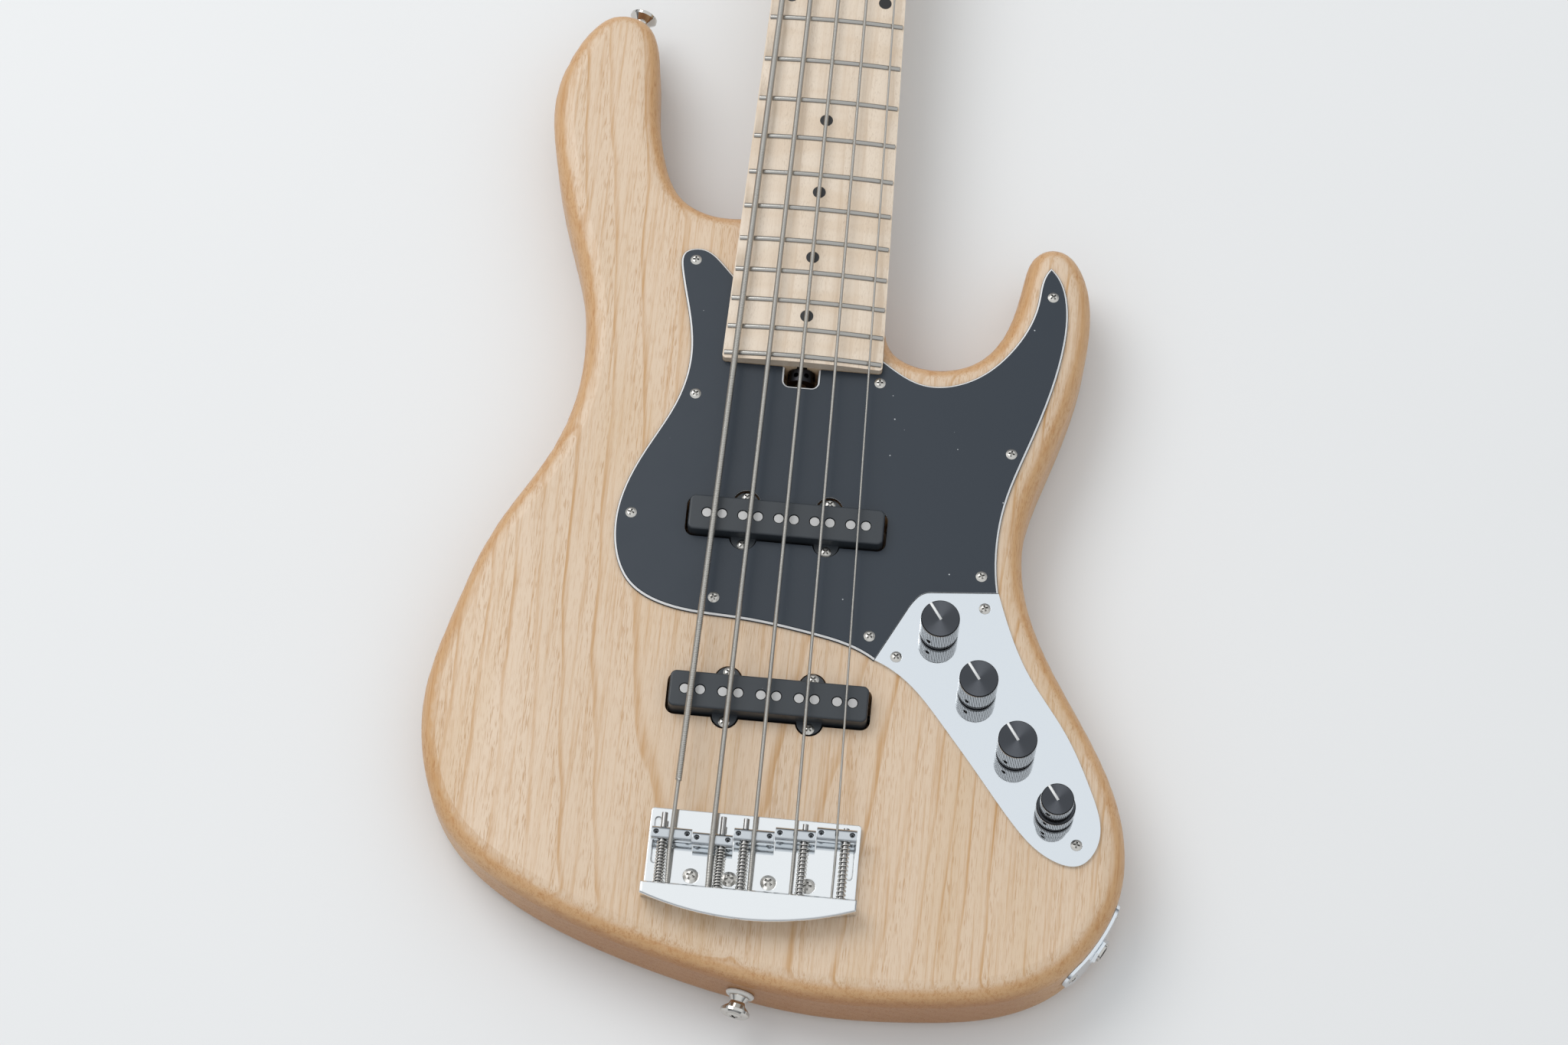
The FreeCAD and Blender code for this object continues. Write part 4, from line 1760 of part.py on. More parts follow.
def main():
    os.makedirs("parts", exist_ok=True)
    for name, make in PIECES.items():
        write_piece(name, make())
    for name, make in NUMBERED_PIECES.items():
        for index in STRINGS:
            write_piece(name + "_" + str(index + 1), make(index))
    for index, name in enumerate(KNOB_NAMES):
        write_piece(name, make_knob(index))
    print_gaps()


if __name__ == "__main__":
    main()
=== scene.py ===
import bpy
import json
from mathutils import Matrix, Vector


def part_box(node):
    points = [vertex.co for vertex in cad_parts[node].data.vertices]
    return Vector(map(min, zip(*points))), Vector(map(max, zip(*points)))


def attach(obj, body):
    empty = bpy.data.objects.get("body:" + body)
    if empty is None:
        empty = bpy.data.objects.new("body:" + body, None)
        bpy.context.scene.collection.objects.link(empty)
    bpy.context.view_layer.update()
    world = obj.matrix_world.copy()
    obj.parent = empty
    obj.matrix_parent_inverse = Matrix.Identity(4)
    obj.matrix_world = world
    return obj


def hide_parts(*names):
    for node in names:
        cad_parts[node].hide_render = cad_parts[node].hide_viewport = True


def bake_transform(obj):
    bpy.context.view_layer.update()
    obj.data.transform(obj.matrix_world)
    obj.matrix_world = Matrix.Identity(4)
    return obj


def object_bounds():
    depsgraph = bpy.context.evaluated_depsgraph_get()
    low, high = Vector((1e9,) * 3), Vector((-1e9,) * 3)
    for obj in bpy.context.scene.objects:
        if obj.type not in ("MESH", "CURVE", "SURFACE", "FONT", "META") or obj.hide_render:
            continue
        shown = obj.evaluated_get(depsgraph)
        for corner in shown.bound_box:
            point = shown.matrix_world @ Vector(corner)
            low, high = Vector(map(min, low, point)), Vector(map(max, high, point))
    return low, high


bl_info = {
    "name": "Five-string bass guitar",
    "version": (1, 0, 0),
    "blender": (4, 5, 0),
    "location": "3D View > Sidebar > Bass",
    "description": "Finishes, wound strings, springs, knurled knobs and a plain stage for the packed bass",
    "category": "Object",
}

import json
import math

import bpy
import numpy as np
from bpy.props import FloatProperty, FloatVectorProperty, IntProperty, PointerProperty
from mathutils import Quaternion, Vector

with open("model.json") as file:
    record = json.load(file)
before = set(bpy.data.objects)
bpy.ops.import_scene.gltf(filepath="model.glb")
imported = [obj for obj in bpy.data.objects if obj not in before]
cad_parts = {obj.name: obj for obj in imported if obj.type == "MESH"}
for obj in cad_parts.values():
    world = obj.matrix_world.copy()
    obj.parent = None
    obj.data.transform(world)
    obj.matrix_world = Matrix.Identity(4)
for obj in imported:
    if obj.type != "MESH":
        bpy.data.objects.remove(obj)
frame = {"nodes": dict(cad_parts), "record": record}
CAD_BOX = [list(corner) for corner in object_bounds()]

# Part frame: X across the strings, Y to the head, Z up from the flat back; sizes here are in metres
MM = 0.001
UP = Vector((0, 0, 1))
FORWARD = Vector((0, 1, 0))
FULL_TURN = 2 * math.pi
TURN_STEPS = 24
STRING_COUNT = 5
ROOT = "instrument"

# Wound strings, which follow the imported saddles, nut and posts; the low one ends like the third
STRING_DIAMETERS = (3.3 * MM, 2.7 * MM, 2.1 * MM, 1.65 * MM, 1.15 * MM)
LOW_STRING_END_DIAMETER = 2.1 * MM
LOW_STRING_END_WRAP = 2
LOW_STRING_OVERLAP_TURNS = 2
LOW_STRING_TAPER_Y = 18.0 * MM
NUT_PITCH = 9.6 * MM
BOARD_RADIUS = 305.0 * MM
STRING_ABOVE_FRET = 0.6 * MM
STRING_SINK = 0.2 * MM
STRING_BEND_BEHIND_SADDLE = 7.5 * MM
STRING_BEND_RADIUS = 9.0 * MM
BEND_STEPS = 8
LEAST_BEND = 1e-4
SADDLE_RADIUS = 3.3 * MM
BLOCK_WALL = 3.5 * MM
BLOCK_FRONT_Y = -31.0 * MM
BALL_LENGTH = 3.5 * MM
BALL_RADIUS = 2.5 * MM
BALL_RIM = 0.3 * MM
BALL_BELOW_AXIS = 3.0 * MM
BALL_MARK = 1
SEAT_CLEARANCE = 0.05 * MM
POST_RADIUS = 6.0 * MM
WRAP_CLEARANCE = 0.3 * MM
WRAP_GAP = 0.5 * MM
WRAP_TURNS = (1.75, 1.75, 2.75, 2.75, 2.75)
WRAP_APPROACH = 2.2

# Springs between the saddles and the bridge block
INTONATION_OFFSETS = (-4.2 * MM, 4.2 * MM, -4.2 * MM, 4.2 * MM, 4.2 * MM)
SPRING_RADIUS = 2.05 * MM
SPRING_WIRE_RADIUS = 0.3 * MM
SPRING_WIRE_COLUMNS = 8
SPRING_TURNS = 13
SPRING_END_GAP = 0.15 * MM
TURNING_GAP = 0.3 * MM

# Knobs: foot, groove, knurled wall with a set screw's hole, turned top; tooth steps are shares of depth
# The black foot mark also serves as painted shade in the knurl's valleys and the set screw's hole
KNOB_TOP, KNOB_KNURL, KNOB_FOOT_AND_SHADE, KNOB_POINTER = range(4)
POINTED_KNOBS = ("volume_knob", "blend_knob", "tone_knob", "stack_upper_knob")
KNOB_BASE = 47.6 * MM
KNOB_ROWS = 30
KNOB_POINTER_PROUD = 0.03 * MM
SET_SCREW_TURN = math.radians(240.0)
SET_SCREW_DEPTH = 2.2 * MM
SET_SCREW_HEIGHT = 6.2 * MM
TOOTH_STEPS = (1.0, 0.45, 0.0, 0.45)
# Faces of each tooth nearest its root, painted black as shade in the knurl's valleys
PAINTED_SHADE_TOOTH_FACES = (0, 3)
GROOVE_DEPTH = 0.45 * MM
GROOVE_WIDTH = 0.5 * MM
SHAFT_RADIUS = 3.0 * MM
STACK_GAP = 0.4 * MM
STACK_SHAFT_RADIUS = 2.0 * MM
STACK_BORE_RADIUS = 2.2 * MM

# Felt washers, with a rim that waves a little: rate per column and start of each wave
FELTED_BUTTONS = ("tail_strap_button", "horn_strap_button")
FELT_RADIUS = 6.8 * MM
FELT_THICKNESS = 2.0 * MM
FELT_HOLE = 2.4 * MM
FELT_EDGE_STEPS = 8
FELT_COLUMNS = 96
FELT_WAVES = ((2.05, 0.0), (3.51, 1.3))
FELT_WAVE_SHARE = 0.008

# Stage, with scale and detail of the floor's mottle and the heights between which the sky brightens
FLOOR_HALF = 6.0
FLOOR_DROP = 0.2 * MM
FLOOR_MOTTLE = (3.0, 3.0)
FLOOR_SHADE = 0.97
SENSOR_WIDTH = 36.0
SKY_RISE = (0.05, 0.65)

# Figure of the woods: width and length of a pattern in mm, then its detail and roughness
SLOW_BEND = (60.0, 330.0)
QUICK_BEND = (9.0, 45.0)
QUICK_BEND_REACH = 1.6
FIBRE = (1.6, 70.0, 3.0, 0.6)
TONE = (28.0, 150.0, 3.0)
ASH_GRAIN = {"Line Start": 0.78, "Pore Width": 0.42, "Pore Length": 7.0}
MAPLE_GRAIN = {"Ring Width": 3.1, "Pith X": -60.0, "Pith Z": -160.0, "Wander": 8.0,
               "Pore Width": 0.5, "Pore Length": 2.2}
MAPLE_CROSS_FIGURE = (26.0, 95.0, 26.0)

# Ramps of the woods: from and to on a pattern, and what is given there
LINE_PEAK = 0.95
LINE_FALL = (LINE_PEAK, 1.0, 1.0, 0.0)
LINE_FIBRE = (0.3, 0.65, 0.45, 1.0)
LINE_VIGOUR = (0.0, 1.0, 0.3, 1.0)
PORE_SPECKS = (0.53, 0.66)
PORE_SEASON = (0.05, 0.6, 1.0, 0.45)
ASH_WARMTH = (0.4, 0.72, 0.0, 0.5)
ASH_STREAKS = (0.46, 0.72, 0.0, 0.5)
ASH_FLAT_LINES = (0.8, 0.99, 0.35, 1.0)
# Tints on tilted faces and on end grain: partly the cut grain's own tone, partly painted shade
ASH_EDGE_TONE_AND_SHADE = (0.78, 1.0, 1.0, 0.0)
ASH_END_GRAIN_AND_SHADE = (0.7, 1.0, 0.0, 1.0)
ASH_GLOSS = (0.0, 1.0, 0.36, 0.6)
MAPLE_WARMTH = (0.4, 0.7, 0.0, 0.35)
MAPLE_STREAKS = (0.45, 0.8, 0.0, 0.25)

# Shares of the woods' lines and pores, shine, and strength and depth of their relief
ASH_PORES = 0.5
MAPLE_LINES = 0.4
MAPLE_PORES = 0.22
WOOD_SHINE = 0.45
ASH_RELIEF = (0.3, 0.1 * MM)
MAPLE_RELIEF = (0.08, 0.05 * MM)

# Marks of use, dust and textures; noises give their scale per metre, detail and roughness
NOISE_MIDDLE = 0.5
SMUDGES = (70.0, 4.0, 0.6)
HAIR_STRETCH = (260.0, 3400.0, 900.0)
HAIR_LINES = (0.62, 0.74)
HAIR_SHARE = 0.4
SCRATCH_DEPTH = 0.02 * MM
DUST_CHANCE = (0.3, 1.0)
DUST_COLOUR = (0.6, 0.62, 0.64)
PICKGUARD_DUST = {"Size": 0.05, "Spacing": 8.0 * MM}
PICKGUARD_DUST_SHARE = 0.8
SATIN_SCALE = 2600.0
SATIN_DEPTH = 0.03 * MM
PICKGUARD_SATIN_SCALE = 2200.0
PICKGUARD_SATIN = 0.12
FELT_FUZZ = (2400.0, 4.0, 0.7)
FELT_NAP = (0.6, 0.15 * MM)
CIRCUIT_TRACKS = (400.0, 0.0)
CIRCUIT_EDGES = (0.49, 0.51)
CIRCUIT_THICKNESS = 0.35

# Reach and darkness of the painted shade in the crevices of small metal parts
CREVICE_SHADE_REACH = 2.0 * MM
CREVICE_SHADE = 0.12
CREVICE_OPEN = (0.25, 0.85)
POLE_SHADE_REACH = 0.5 * MM
KNURL_SHADE_REACH = 0.6 * MM

# Colours of small and hidden pieces
MARKER_BLACK = (0.012, 0.012, 0.013)
PART_BLACK = (0.02, 0.02, 0.022)
COVER_BLACK = (0.025, 0.025, 0.028)
LEAD_BLACK = (0.03, 0.03, 0.03)
WHEEL_BLACK = (0.03, 0.03, 0.034)
FOAM_BLACK = (0.05, 0.05, 0.055)
BONE = (0.72, 0.68, 0.58)
COPPER = (0.6, 0.24, 0.1)
BRASS = (0.62, 0.42, 0.16)
TOOTH_CHROME = (0.66, 0.67, 0.68)
POT_METAL = (0.45, 0.44, 0.42)
FELT_SHADE = (0.55, 0.53, 0.5)
CIRCUIT_GREEN = (0.01, 0.12, 0.05)
TRACK_GREEN = (0.02, 0.18, 0.08)


# Small tools for meshes

class Shape:
    """Points and faces that are gathered from several sweeps into one mesh."""

    def __init__(self, points=(), faces=(), mark=0):
        self.points = []
        self.faces = []
        self.marks = []
        self.add(points, faces, mark)

    def add(self, points, faces, mark=0):
        """Adds faces with one material mark for all, or a list with one for each."""
        start = len(self.points)
        self.points += [tuple(point) for point in points]
        self.faces += [[start + corner for corner in face] for face in faces]
        self.marks += mark if isinstance(mark, list) else [mark] * len(faces)

    def piece(self, name, materials):
        """Smooth mesh object with its materials."""
        mesh = bpy.data.meshes.new(name)
        mesh.from_pydata(self.points, [], self.faces)
        for material in materials:
            mesh.materials.append(material)
        mesh.polygons.foreach_set("material_index", self.marks)
        mesh.polygons.foreach_set("use_smooth", [True] * len(mesh.polygons))
        mesh.validate()
        mesh.update()
        piece = bpy.data.objects.new(name, mesh)
        bpy.context.scene.collection.objects.link(piece)
        return piece


def numbered(name):
    return [name + "_" + str(index + 1) for index in range(STRING_COUNT)]


def middle(low, high, height):
    """Point at a height over the middle of a box."""
    return Vector(((low.x + high.x) / 2, (low.y + high.y) / 2, height))


def ring_faces(rows, columns):
    """Quads between rows of points that close on themselves."""
    faces = []
    for row in range(rows - 1):
        low = row * columns
        for column in range(columns):
            after = (column + 1) % columns
            faces.append([low + column, low + after, low + columns + after, low + columns + column])
    return faces


def lathe(profile, columns, place, axis=UP):
    """Points and faces of a turned shape from (radius, height) pairs; zero radius closes an end."""
    turn = UP.rotation_difference(axis)
    points = []
    for radius, height in profile:
        for column in range(columns):
            angle = FULL_TURN * column / columns
            spot = Vector((radius * math.cos(angle), radius * math.sin(angle), height))
            points.append(place + turn @ spot)
    return points, ring_faces(len(profile), columns)


def sampled(path, lengths):
    """Places and frames on a polyline at given lengths; the frame's second direction leans upward."""
    steps = np.linalg.norm(np.diff(path, axis=0), axis=1)
    marks = np.concatenate(([0.0], np.cumsum(steps)))
    spots = np.stack([np.interp(lengths, marks, path[:, axis]) for axis in range(3)], 1)
    halfway = (marks[:-1] + marks[1:]) / 2
    slopes = np.diff(path, axis=0) / steps[:, None]
    along = np.stack([np.interp(lengths, halfway, slopes[:, axis]) for axis in range(3)], 1)
    along /= np.linalg.norm(along, axis=1)[:, None]
    up = np.array(UP) - along * along[:, 2:3]
    up /= np.linalg.norm(up, axis=1)[:, None]
    return spots, up, np.cross(along, up)


def wound_tube(path, radius, pitch, depth, columns):
    """Wire wrap along a polyline: a crest and a valley that climb round the core, closed at both ends."""
    length = float(np.linalg.norm(np.diff(path, axis=0), axis=1).sum())
    turns = max(2, int(length / pitch) - 1)
    count = turns * columns + 1
    index = np.arange(count)
    angles = FULL_TURN * index / columns
    points = []
    for reach, shift in ((radius - depth, 0.0), (radius, pitch / 2)):
        spots, up, side = sampled(path, pitch * index / columns + shift)
        out = up * np.cos(angles)[:, None] + side * np.sin(angles)[:, None]
        points.append(spots + reach * out)
    points = np.concatenate(points).tolist()
    faces = []
    for step in range(count - 1):
        faces.append([step, count + step, count + step + 1, step + 1])
        if step + columns + 1 < count:
            faces.append([count + step, step + columns, step + columns + 1, count + step + 1])
    first = len(points)
    points.append(path[0])
    faces += [[first, step, step + 1] for step in range(columns)]
    faces += [[first, columns, count], [first, count, 0]]
    last = count - 1
    points.append(path[-1])
    faces += [[first + 1, count + last - step, count + last - step - 1] for step in range(columns)]
    faces += [[first + 1, count + last - columns, last], [first + 1, last, count + last]]
    return points, faces


def crisp_turns(piece):
    """Keeps the turns of a wrap apart in the shading: the edges along its crest and valley are sharp."""
    edges = piece.data.edges
    ends = np.zeros(2 * len(edges), dtype=np.int32)
    edges.foreach_get("vertices", ends)
    edges.foreach_set("use_edge_sharp", np.abs(ends[0::2] - ends[1::2]) == 1)


def rounded_path(corners, radius):
    """Polyline through corners that are rounded by arcs of one radius."""
    path = [corners[0]]
    for before, corner, after in zip(corners, corners[1:], corners[2:]):
        into = (corner - before).normalized()
        out = (after - corner).normalized()
        half_turn = into.angle(out) / 2
        if half_turn < LEAST_BEND:
            path.append(corner)
            continue
        trim = radius * math.tan(half_turn)
        toward = (out - into).normalized()
        centre = corner + toward * (radius / math.cos(half_turn))
        axis = into.cross(out).normalized()
        start = corner - into * trim - centre
        for step in range(BEND_STEPS + 1):
            path.append(centre + Quaternion(axis, 2 * half_turn * step / BEND_STEPS) @ start)
    path.append(corners[-1])
    return path


# Small tools for materials

VECTOR = "NodeSocketVector"
VALUE = "NodeSocketFloat"
COLOUR = "NodeSocketColor"
MIX_FACTOR, MIX_FIRST, MIX_SECOND, MIX_RESULT = 0, 6, 7, 2


def plug(socket, value):
    """Links a socket to another one, or sets its plain value."""
    if isinstance(value, bpy.types.NodeSocket):
        socket.id_data.links.new(value, socket)
    elif socket.type == "RGBA":
        socket.default_value = (*value, 1.0)
    else:
        socket.default_value = value


def add(tree, kind, inputs=None, **settings):
    """New node with its settings, and with its inputs linked or set."""
    made = tree.nodes.new(kind)
    for name, value in settings.items():
        setattr(made, name, value)
    for name, value in (inputs or {}).items():
        plug(made.inputs[name], value)
    return made


def linked(kind, inputs, **settings):
    """New node in the tree of the sockets among its inputs."""
    trees = [value.id_data for value in inputs.values() if isinstance(value, bpy.types.NodeSocket)]
    return add(trees[0], kind, inputs, **settings)


def calc(operation, first, second=0.0):
    return linked("ShaderNodeMath", {0: first, 1: second}, operation=operation).outputs[0]


def times(first, second):
    return calc("MULTIPLY", first, second)


def split(vector):
    """The three parts of a vector."""
    return linked("ShaderNodeSeparateXYZ", {0: vector}).outputs


def stretched(vector, factors):
    """Coordinates multiplied per axis, so that a pattern runs along one direction."""
    return linked("ShaderNodeVectorMath", {0: vector, 1: factors}, operation="MULTIPLY").outputs[0]


def noise(vector, scale=1.0, detail=2.0, roughness=0.5):
    inputs = {"Vector": vector, "Scale": scale, "Detail": detail, "Roughness": roughness}
    return linked("ShaderNodeTexNoise", inputs).outputs["Fac"]


def along_grain(spot, wide, long, detail=2.0, roughness=0.5):
    """Noise that is drawn out along a board."""
    return noise(stretched(spot, (1 / wide, 1 / long, 1 / wide)), 1.0, detail, roughness)


def ramp(value, low, high, start=0.0, end=1.0):
    """Smooth step from start to end between two values."""
    inputs = {"Value": value, "From Min": low, "From Max": high, "To Min": start, "To Max": end}
    return linked("ShaderNodeMapRange", inputs, interpolation_type="SMOOTHSTEP").outputs["Result"]


def mixed(factor, first, second, mode="MIX"):
    """Two colours mixed by a factor."""
    inputs = {MIX_FACTOR: factor, MIX_FIRST: first, MIX_SECOND: second}
    return linked("ShaderNodeMix", inputs, data_type="RGBA", blend_type=mode).outputs[MIX_RESULT]


def effect_group(name, inputs, outputs):
    """Sockets of a new shader node group; an input is given by its kind or, for a value, its default."""
    tree = bpy.data.node_groups.new(name, "ShaderNodeTree")
    for label, given in inputs.items():
        is_value = isinstance(given, float)
        socket = tree.interface.new_socket(label, in_out="INPUT", socket_type=VALUE if is_value else given)
        if is_value:
            socket.default_value = given
    for label, kind in outputs.items():
        tree.interface.new_socket(label, in_out="OUTPUT", socket_type=kind)
    return tree.nodes.new("NodeGroupInput").outputs, tree.nodes.new("NodeGroupOutput").inputs


def effect(shader, name, inputs):
    """A shared effect placed beside a shader with its own values."""
    return add(shader.id_data, "ShaderNodeGroup", inputs, node_tree=bpy.data.node_groups[name]).outputs


def new_finish(name, constants):
    """Material with its shader's plain values; returns it, the shader and coordinates in metres."""
    material = bpy.data.materials.new(name)
    material.use_nodes = True
    tree = material.node_tree
    shader = tree.nodes["Principled BSDF"]
    for label, value in constants.items():
        plug(shader.inputs[label], value)
    return material, shader, tree.nodes.new("ShaderNodeTexCoord").outputs["Object"]


def feed(shader, **sockets):
    """Links values to the shader's sockets; names use underscores for spaces."""
    for label, value in sockets.items():
        plug(shader.inputs[label.replace("_", " ")], value)


def bumped(shader, height, strength, distance, edge=0.0):
    """Relief on the shader's normals, over edges that are eased by a radius where one is given."""
    inputs = {"Height": height, "Strength": strength, "Distance": distance}
    if edge:
        bevel = add(shader.id_data, "ShaderNodeBevel", {"Radius": edge}, samples=4)
        inputs["Normal"] = bevel.outputs["Normal"]
    feed(shader, Normal=linked("ShaderNodeBump", inputs).outputs["Normal"])


def handled(shader, spot, rough, spread):
    """Roughness with marks of use; returns the height of the hair scratches."""
    marks = effect(shader, "handling_marks", {"Vector": spot, "Roughness": rough, "Spread": spread})
    feed(shader, Roughness=marks["Roughness"])
    return marks["Height"]


def paint(material, *names):
    """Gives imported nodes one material."""
    for name in names:
        slots = frame["nodes"][name].data.materials
        slots.clear()
        slots.append(material)


# Effects that several finishes share

def make_grain_effect():
    """Growth rings of a board round a distant pith, with pores, fibres and slow changes of tone, in mm."""
    given, result = effect_group(
        "board_grain",
        {"Vector": VECTOR, "Ring Width": 5.0, "Pith X": 0.0, "Pith Z": -200.0, "Pith Slope": 0.0,
         "Wander": 10.0, "Line Start": 0.45, "Pore Width": 0.5, "Pore Length": 9.0},
        {"Late Wood": VALUE, "Pores": VALUE, "Fibre": VALUE, "Tone": VALUE})
    spot = stretched(given["Vector"], (1 / MM, 1 / MM, 1 / MM))
    axes = split(spot)
    slow = calc("SUBTRACT", along_grain(spot, *SLOW_BEND), NOISE_MIDDLE)
    quick = calc("SUBTRACT", along_grain(spot, *QUICK_BEND), NOISE_MIDDLE)
    bend = calc("ADD", times(slow, given["Wander"]), times(quick, QUICK_BEND_REACH))
    across = calc("SUBTRACT", axes[0], given["Pith X"])
    lean = times(axes[1], given["Pith Slope"])
    height = calc("SUBTRACT", calc("SUBTRACT", axes[2], given["Pith Z"]), lean)
    from_pith = linked("ShaderNodeCombineXYZ", {0: across, 1: height}).outputs[0]
    reach = linked("ShaderNodeVectorMath", {0: from_pith}, operation="LENGTH").outputs["Value"]
    year = calc("DIVIDE", calc("ADD", reach, bend), given["Ring Width"])
    season = calc("FRACT", year)
    ring = calc("FLOOR", year)
    vigour = linked("ShaderNodeTexWhiteNoise", {"W": ring}, noise_dimensions="1D").outputs["Value"]
    rise = ramp(season, given["Line Start"], LINE_PEAK)
    fibre = along_grain(spot, *FIBRE)
    streaks = times(rise, ramp(fibre, *LINE_FIBRE))
    strength = times(ramp(season, *LINE_FALL), ramp(vigour, *LINE_VIGOUR))
    thin = calc("DIVIDE", 1.0, given["Pore Width"])
    long = calc("DIVIDE", 1.0, given["Pore Length"])
    fine = linked("ShaderNodeCombineXYZ", {0: thin, 1: long, 2: thin}).outputs[0]
    specks = noise(stretched(spot, fine), detail=1.0)
    pores = times(ramp(specks, *PORE_SPECKS), ramp(season, *PORE_SEASON))
    plug(result["Late Wood"], times(streaks, strength))
    plug(result["Pores"], pores)
    plug(result["Fibre"], fibre)
    plug(result["Tone"], along_grain(spot, *TONE))


def make_handling_effect():
    """Smudges and hair scratches of a smooth surface that is touched."""
    given, result = effect_group(
        "handling_marks", {"Vector": VECTOR, "Roughness": 0.1, "Spread": 0.05},
        {"Roughness": VALUE, "Height": VALUE})
    smudge = calc("SUBTRACT", noise(given["Vector"], *SMUDGES), NOISE_MIDDLE)
    lines = ramp(noise(stretched(given["Vector"], HAIR_STRETCH)), *HAIR_LINES)
    change = calc("ADD", smudge, times(lines, HAIR_SHARE))
    varied = times(change, given["Spread"])
    plug(result["Roughness"], calc("ADD", given["Roughness"], varied))
    plug(result["Height"], times(lines, -1.0))


def make_dust_effect():
    """Sparse specks of dust."""
    given, result = effect_group(
        "dust_specks", {"Vector": VECTOR, "Size": 0.035, "Spacing": 9.0 * MM}, {"Mask": VALUE})
    cells = calc("DIVIDE", 1.0, given["Spacing"])
    spots = linked("ShaderNodeTexVoronoi", {"Vector": given["Vector"], "Scale": cells})
    chance = linked("ShaderNodeSeparateColor", {0: spots.outputs["Color"]}).outputs[0]
    reach = times(given["Size"], chance)
    near = calc("LESS_THAN", spots.outputs["Distance"], reach)
    plug(result["Mask"], times(near, ramp(chance, *DUST_CHANCE)))


def make_crevice_shade_effect():
    """Painted shade: a metal's colour that darkens where other surfaces are close."""
    given, result = effect_group(
        "painted_crevice_shade", {"Colour": COLOUR, "Reach": CREVICE_SHADE_REACH}, {"Colour": COLOUR})
    dark = mixed(1.0, given["Colour"], [CREVICE_SHADE] * 3, "MULTIPLY")
    opening = linked("ShaderNodeAmbientOcclusion", {"Distance": given["Reach"]}, samples=8).outputs["AO"]
    shade = mixed(ramp(opening, *CREVICE_OPEN), dark, given["Colour"])
    plug(result["Colour"], shade)


# Finishes

def ash_finish(wood):
    """Satin ash: cream wood, thin brown ring lines, short dark pores; tilted faces and end grain are tinted
    warmer and darker, partly the cut grain's own tone and partly painted shade.
    """
    material, shader, spot = new_finish("satin_ash", {"Specular IOR Level": WOOD_SHINE})
    grain = effect(shader, "board_grain", {
        "Vector": spot, "Ring Width": wood.ash_ring_width, "Pith X": wood.ash_pith[0],
        "Pith Z": wood.ash_pith[1], "Pith Slope": wood.ash_pith_slope, "Wander": wood.ash_wander,
        **ASH_GRAIN})
    facing = split(spot.node.outputs["Normal"])
    flat = calc("ABSOLUTE", facing[2])
    end = calc("ABSOLUTE", facing[1])
    late = times(grain["Late Wood"], ramp(flat, *ASH_FLAT_LINES))
    body = mixed(ramp(grain["Tone"], *ASH_WARMTH), wood.ash_pale, wood.ash_warm)
    body = mixed(ramp(grain["Fibre"], *ASH_STREAKS), body, wood.ash_line)
    body = mixed(late, body, wood.ash_line)
    body = mixed(times(grain["Pores"], ASH_PORES), body, wood.ash_pore)
    # Partly the cut grain's warmer tone, partly painted shade: faces that tilt away from the top are tinted
    # darker
    body = mixed(ramp(flat, *ASH_EDGE_TONE_AND_SHADE), body, wood.ash_edge_tone_and_shade, "MULTIPLY")
    # Partly the end grain's darker tone, partly painted shade: faces across the grain are tinted darker
    body = mixed(ramp(end, *ASH_END_GRAIN_AND_SHADE), body, wood.ash_end_grain_and_shade, "MULTIPLY")
    feed(shader, Base_Color=body, Roughness=ramp(grain["Pores"], *ASH_GLOSS))
    bumped(shader, times(grain["Pores"], -1.0), *ASH_RELIEF)
    return material


def maple_finish(wood, name, pale, rough):
    """Pale maple: faint ring lines, tiny flecks and a slight cross figure."""
    material, shader, spot = new_finish(name, {"Specular IOR Level": WOOD_SHINE})
    grain = effect(shader, "board_grain", {"Vector": spot, **MAPLE_GRAIN})
    figure = noise(stretched(spot, MAPLE_CROSS_FIGURE))
    body = mixed(times(grain["Late Wood"], MAPLE_LINES), pale, wood.maple_line)
    body = mixed(ramp(figure, *MAPLE_WARMTH), body, wood.maple_warm)
    body = mixed(ramp(grain["Fibre"], *MAPLE_STREAKS), body, wood.maple_line)
    body = mixed(times(grain["Pores"], MAPLE_PORES), body, wood.maple_fleck)
    feed(shader, Base_Color=body)
    handled(shader, spot, rough, spread=0.12)
    bumped(shader, grain["Fibre"], *MAPLE_RELIEF)
    return material


def metal_finish(name, colour, rough, spread, edge=0.15 * MM, scratch=0.05, painted_shade_reach=0.0):
    """Metal with smudges, hair scratches, eased edges and, where asked, painted shade in its crevices."""
    material, shader, spot = new_finish(name, {"Metallic": 1.0, "Base Color": colour})
    # Painted shade: the colour darkens where other surfaces are close
    if painted_shade_reach:
        shade = effect(shader, "painted_crevice_shade", {"Colour": colour, "Reach": painted_shade_reach})["Colour"]
        feed(shader, Base_Color=shade)
    scratches = handled(shader, spot, rough, spread)
    bumped(shader, scratches, scratch, SCRATCH_DEPTH, edge)
    return material


def moulded_finish(name, colour, rough, grain=0.15, edge=0.2 * MM, dust=0.6):
    """Moulded plastic with a fine satin grain and a little dust."""
    material, shader, spot = new_finish(name, {"Specular IOR Level": 0.5})
    specks = effect(shader, "dust_specks", {"Vector": spot})["Mask"]
    feed(shader, Base_Color=mixed(times(specks, dust), colour, DUST_COLOUR))
    handled(shader, spot, rough, spread=0.15)
    bumped(shader, noise(spot, SATIN_SCALE), grain, SATIN_DEPTH, edge)
    return material


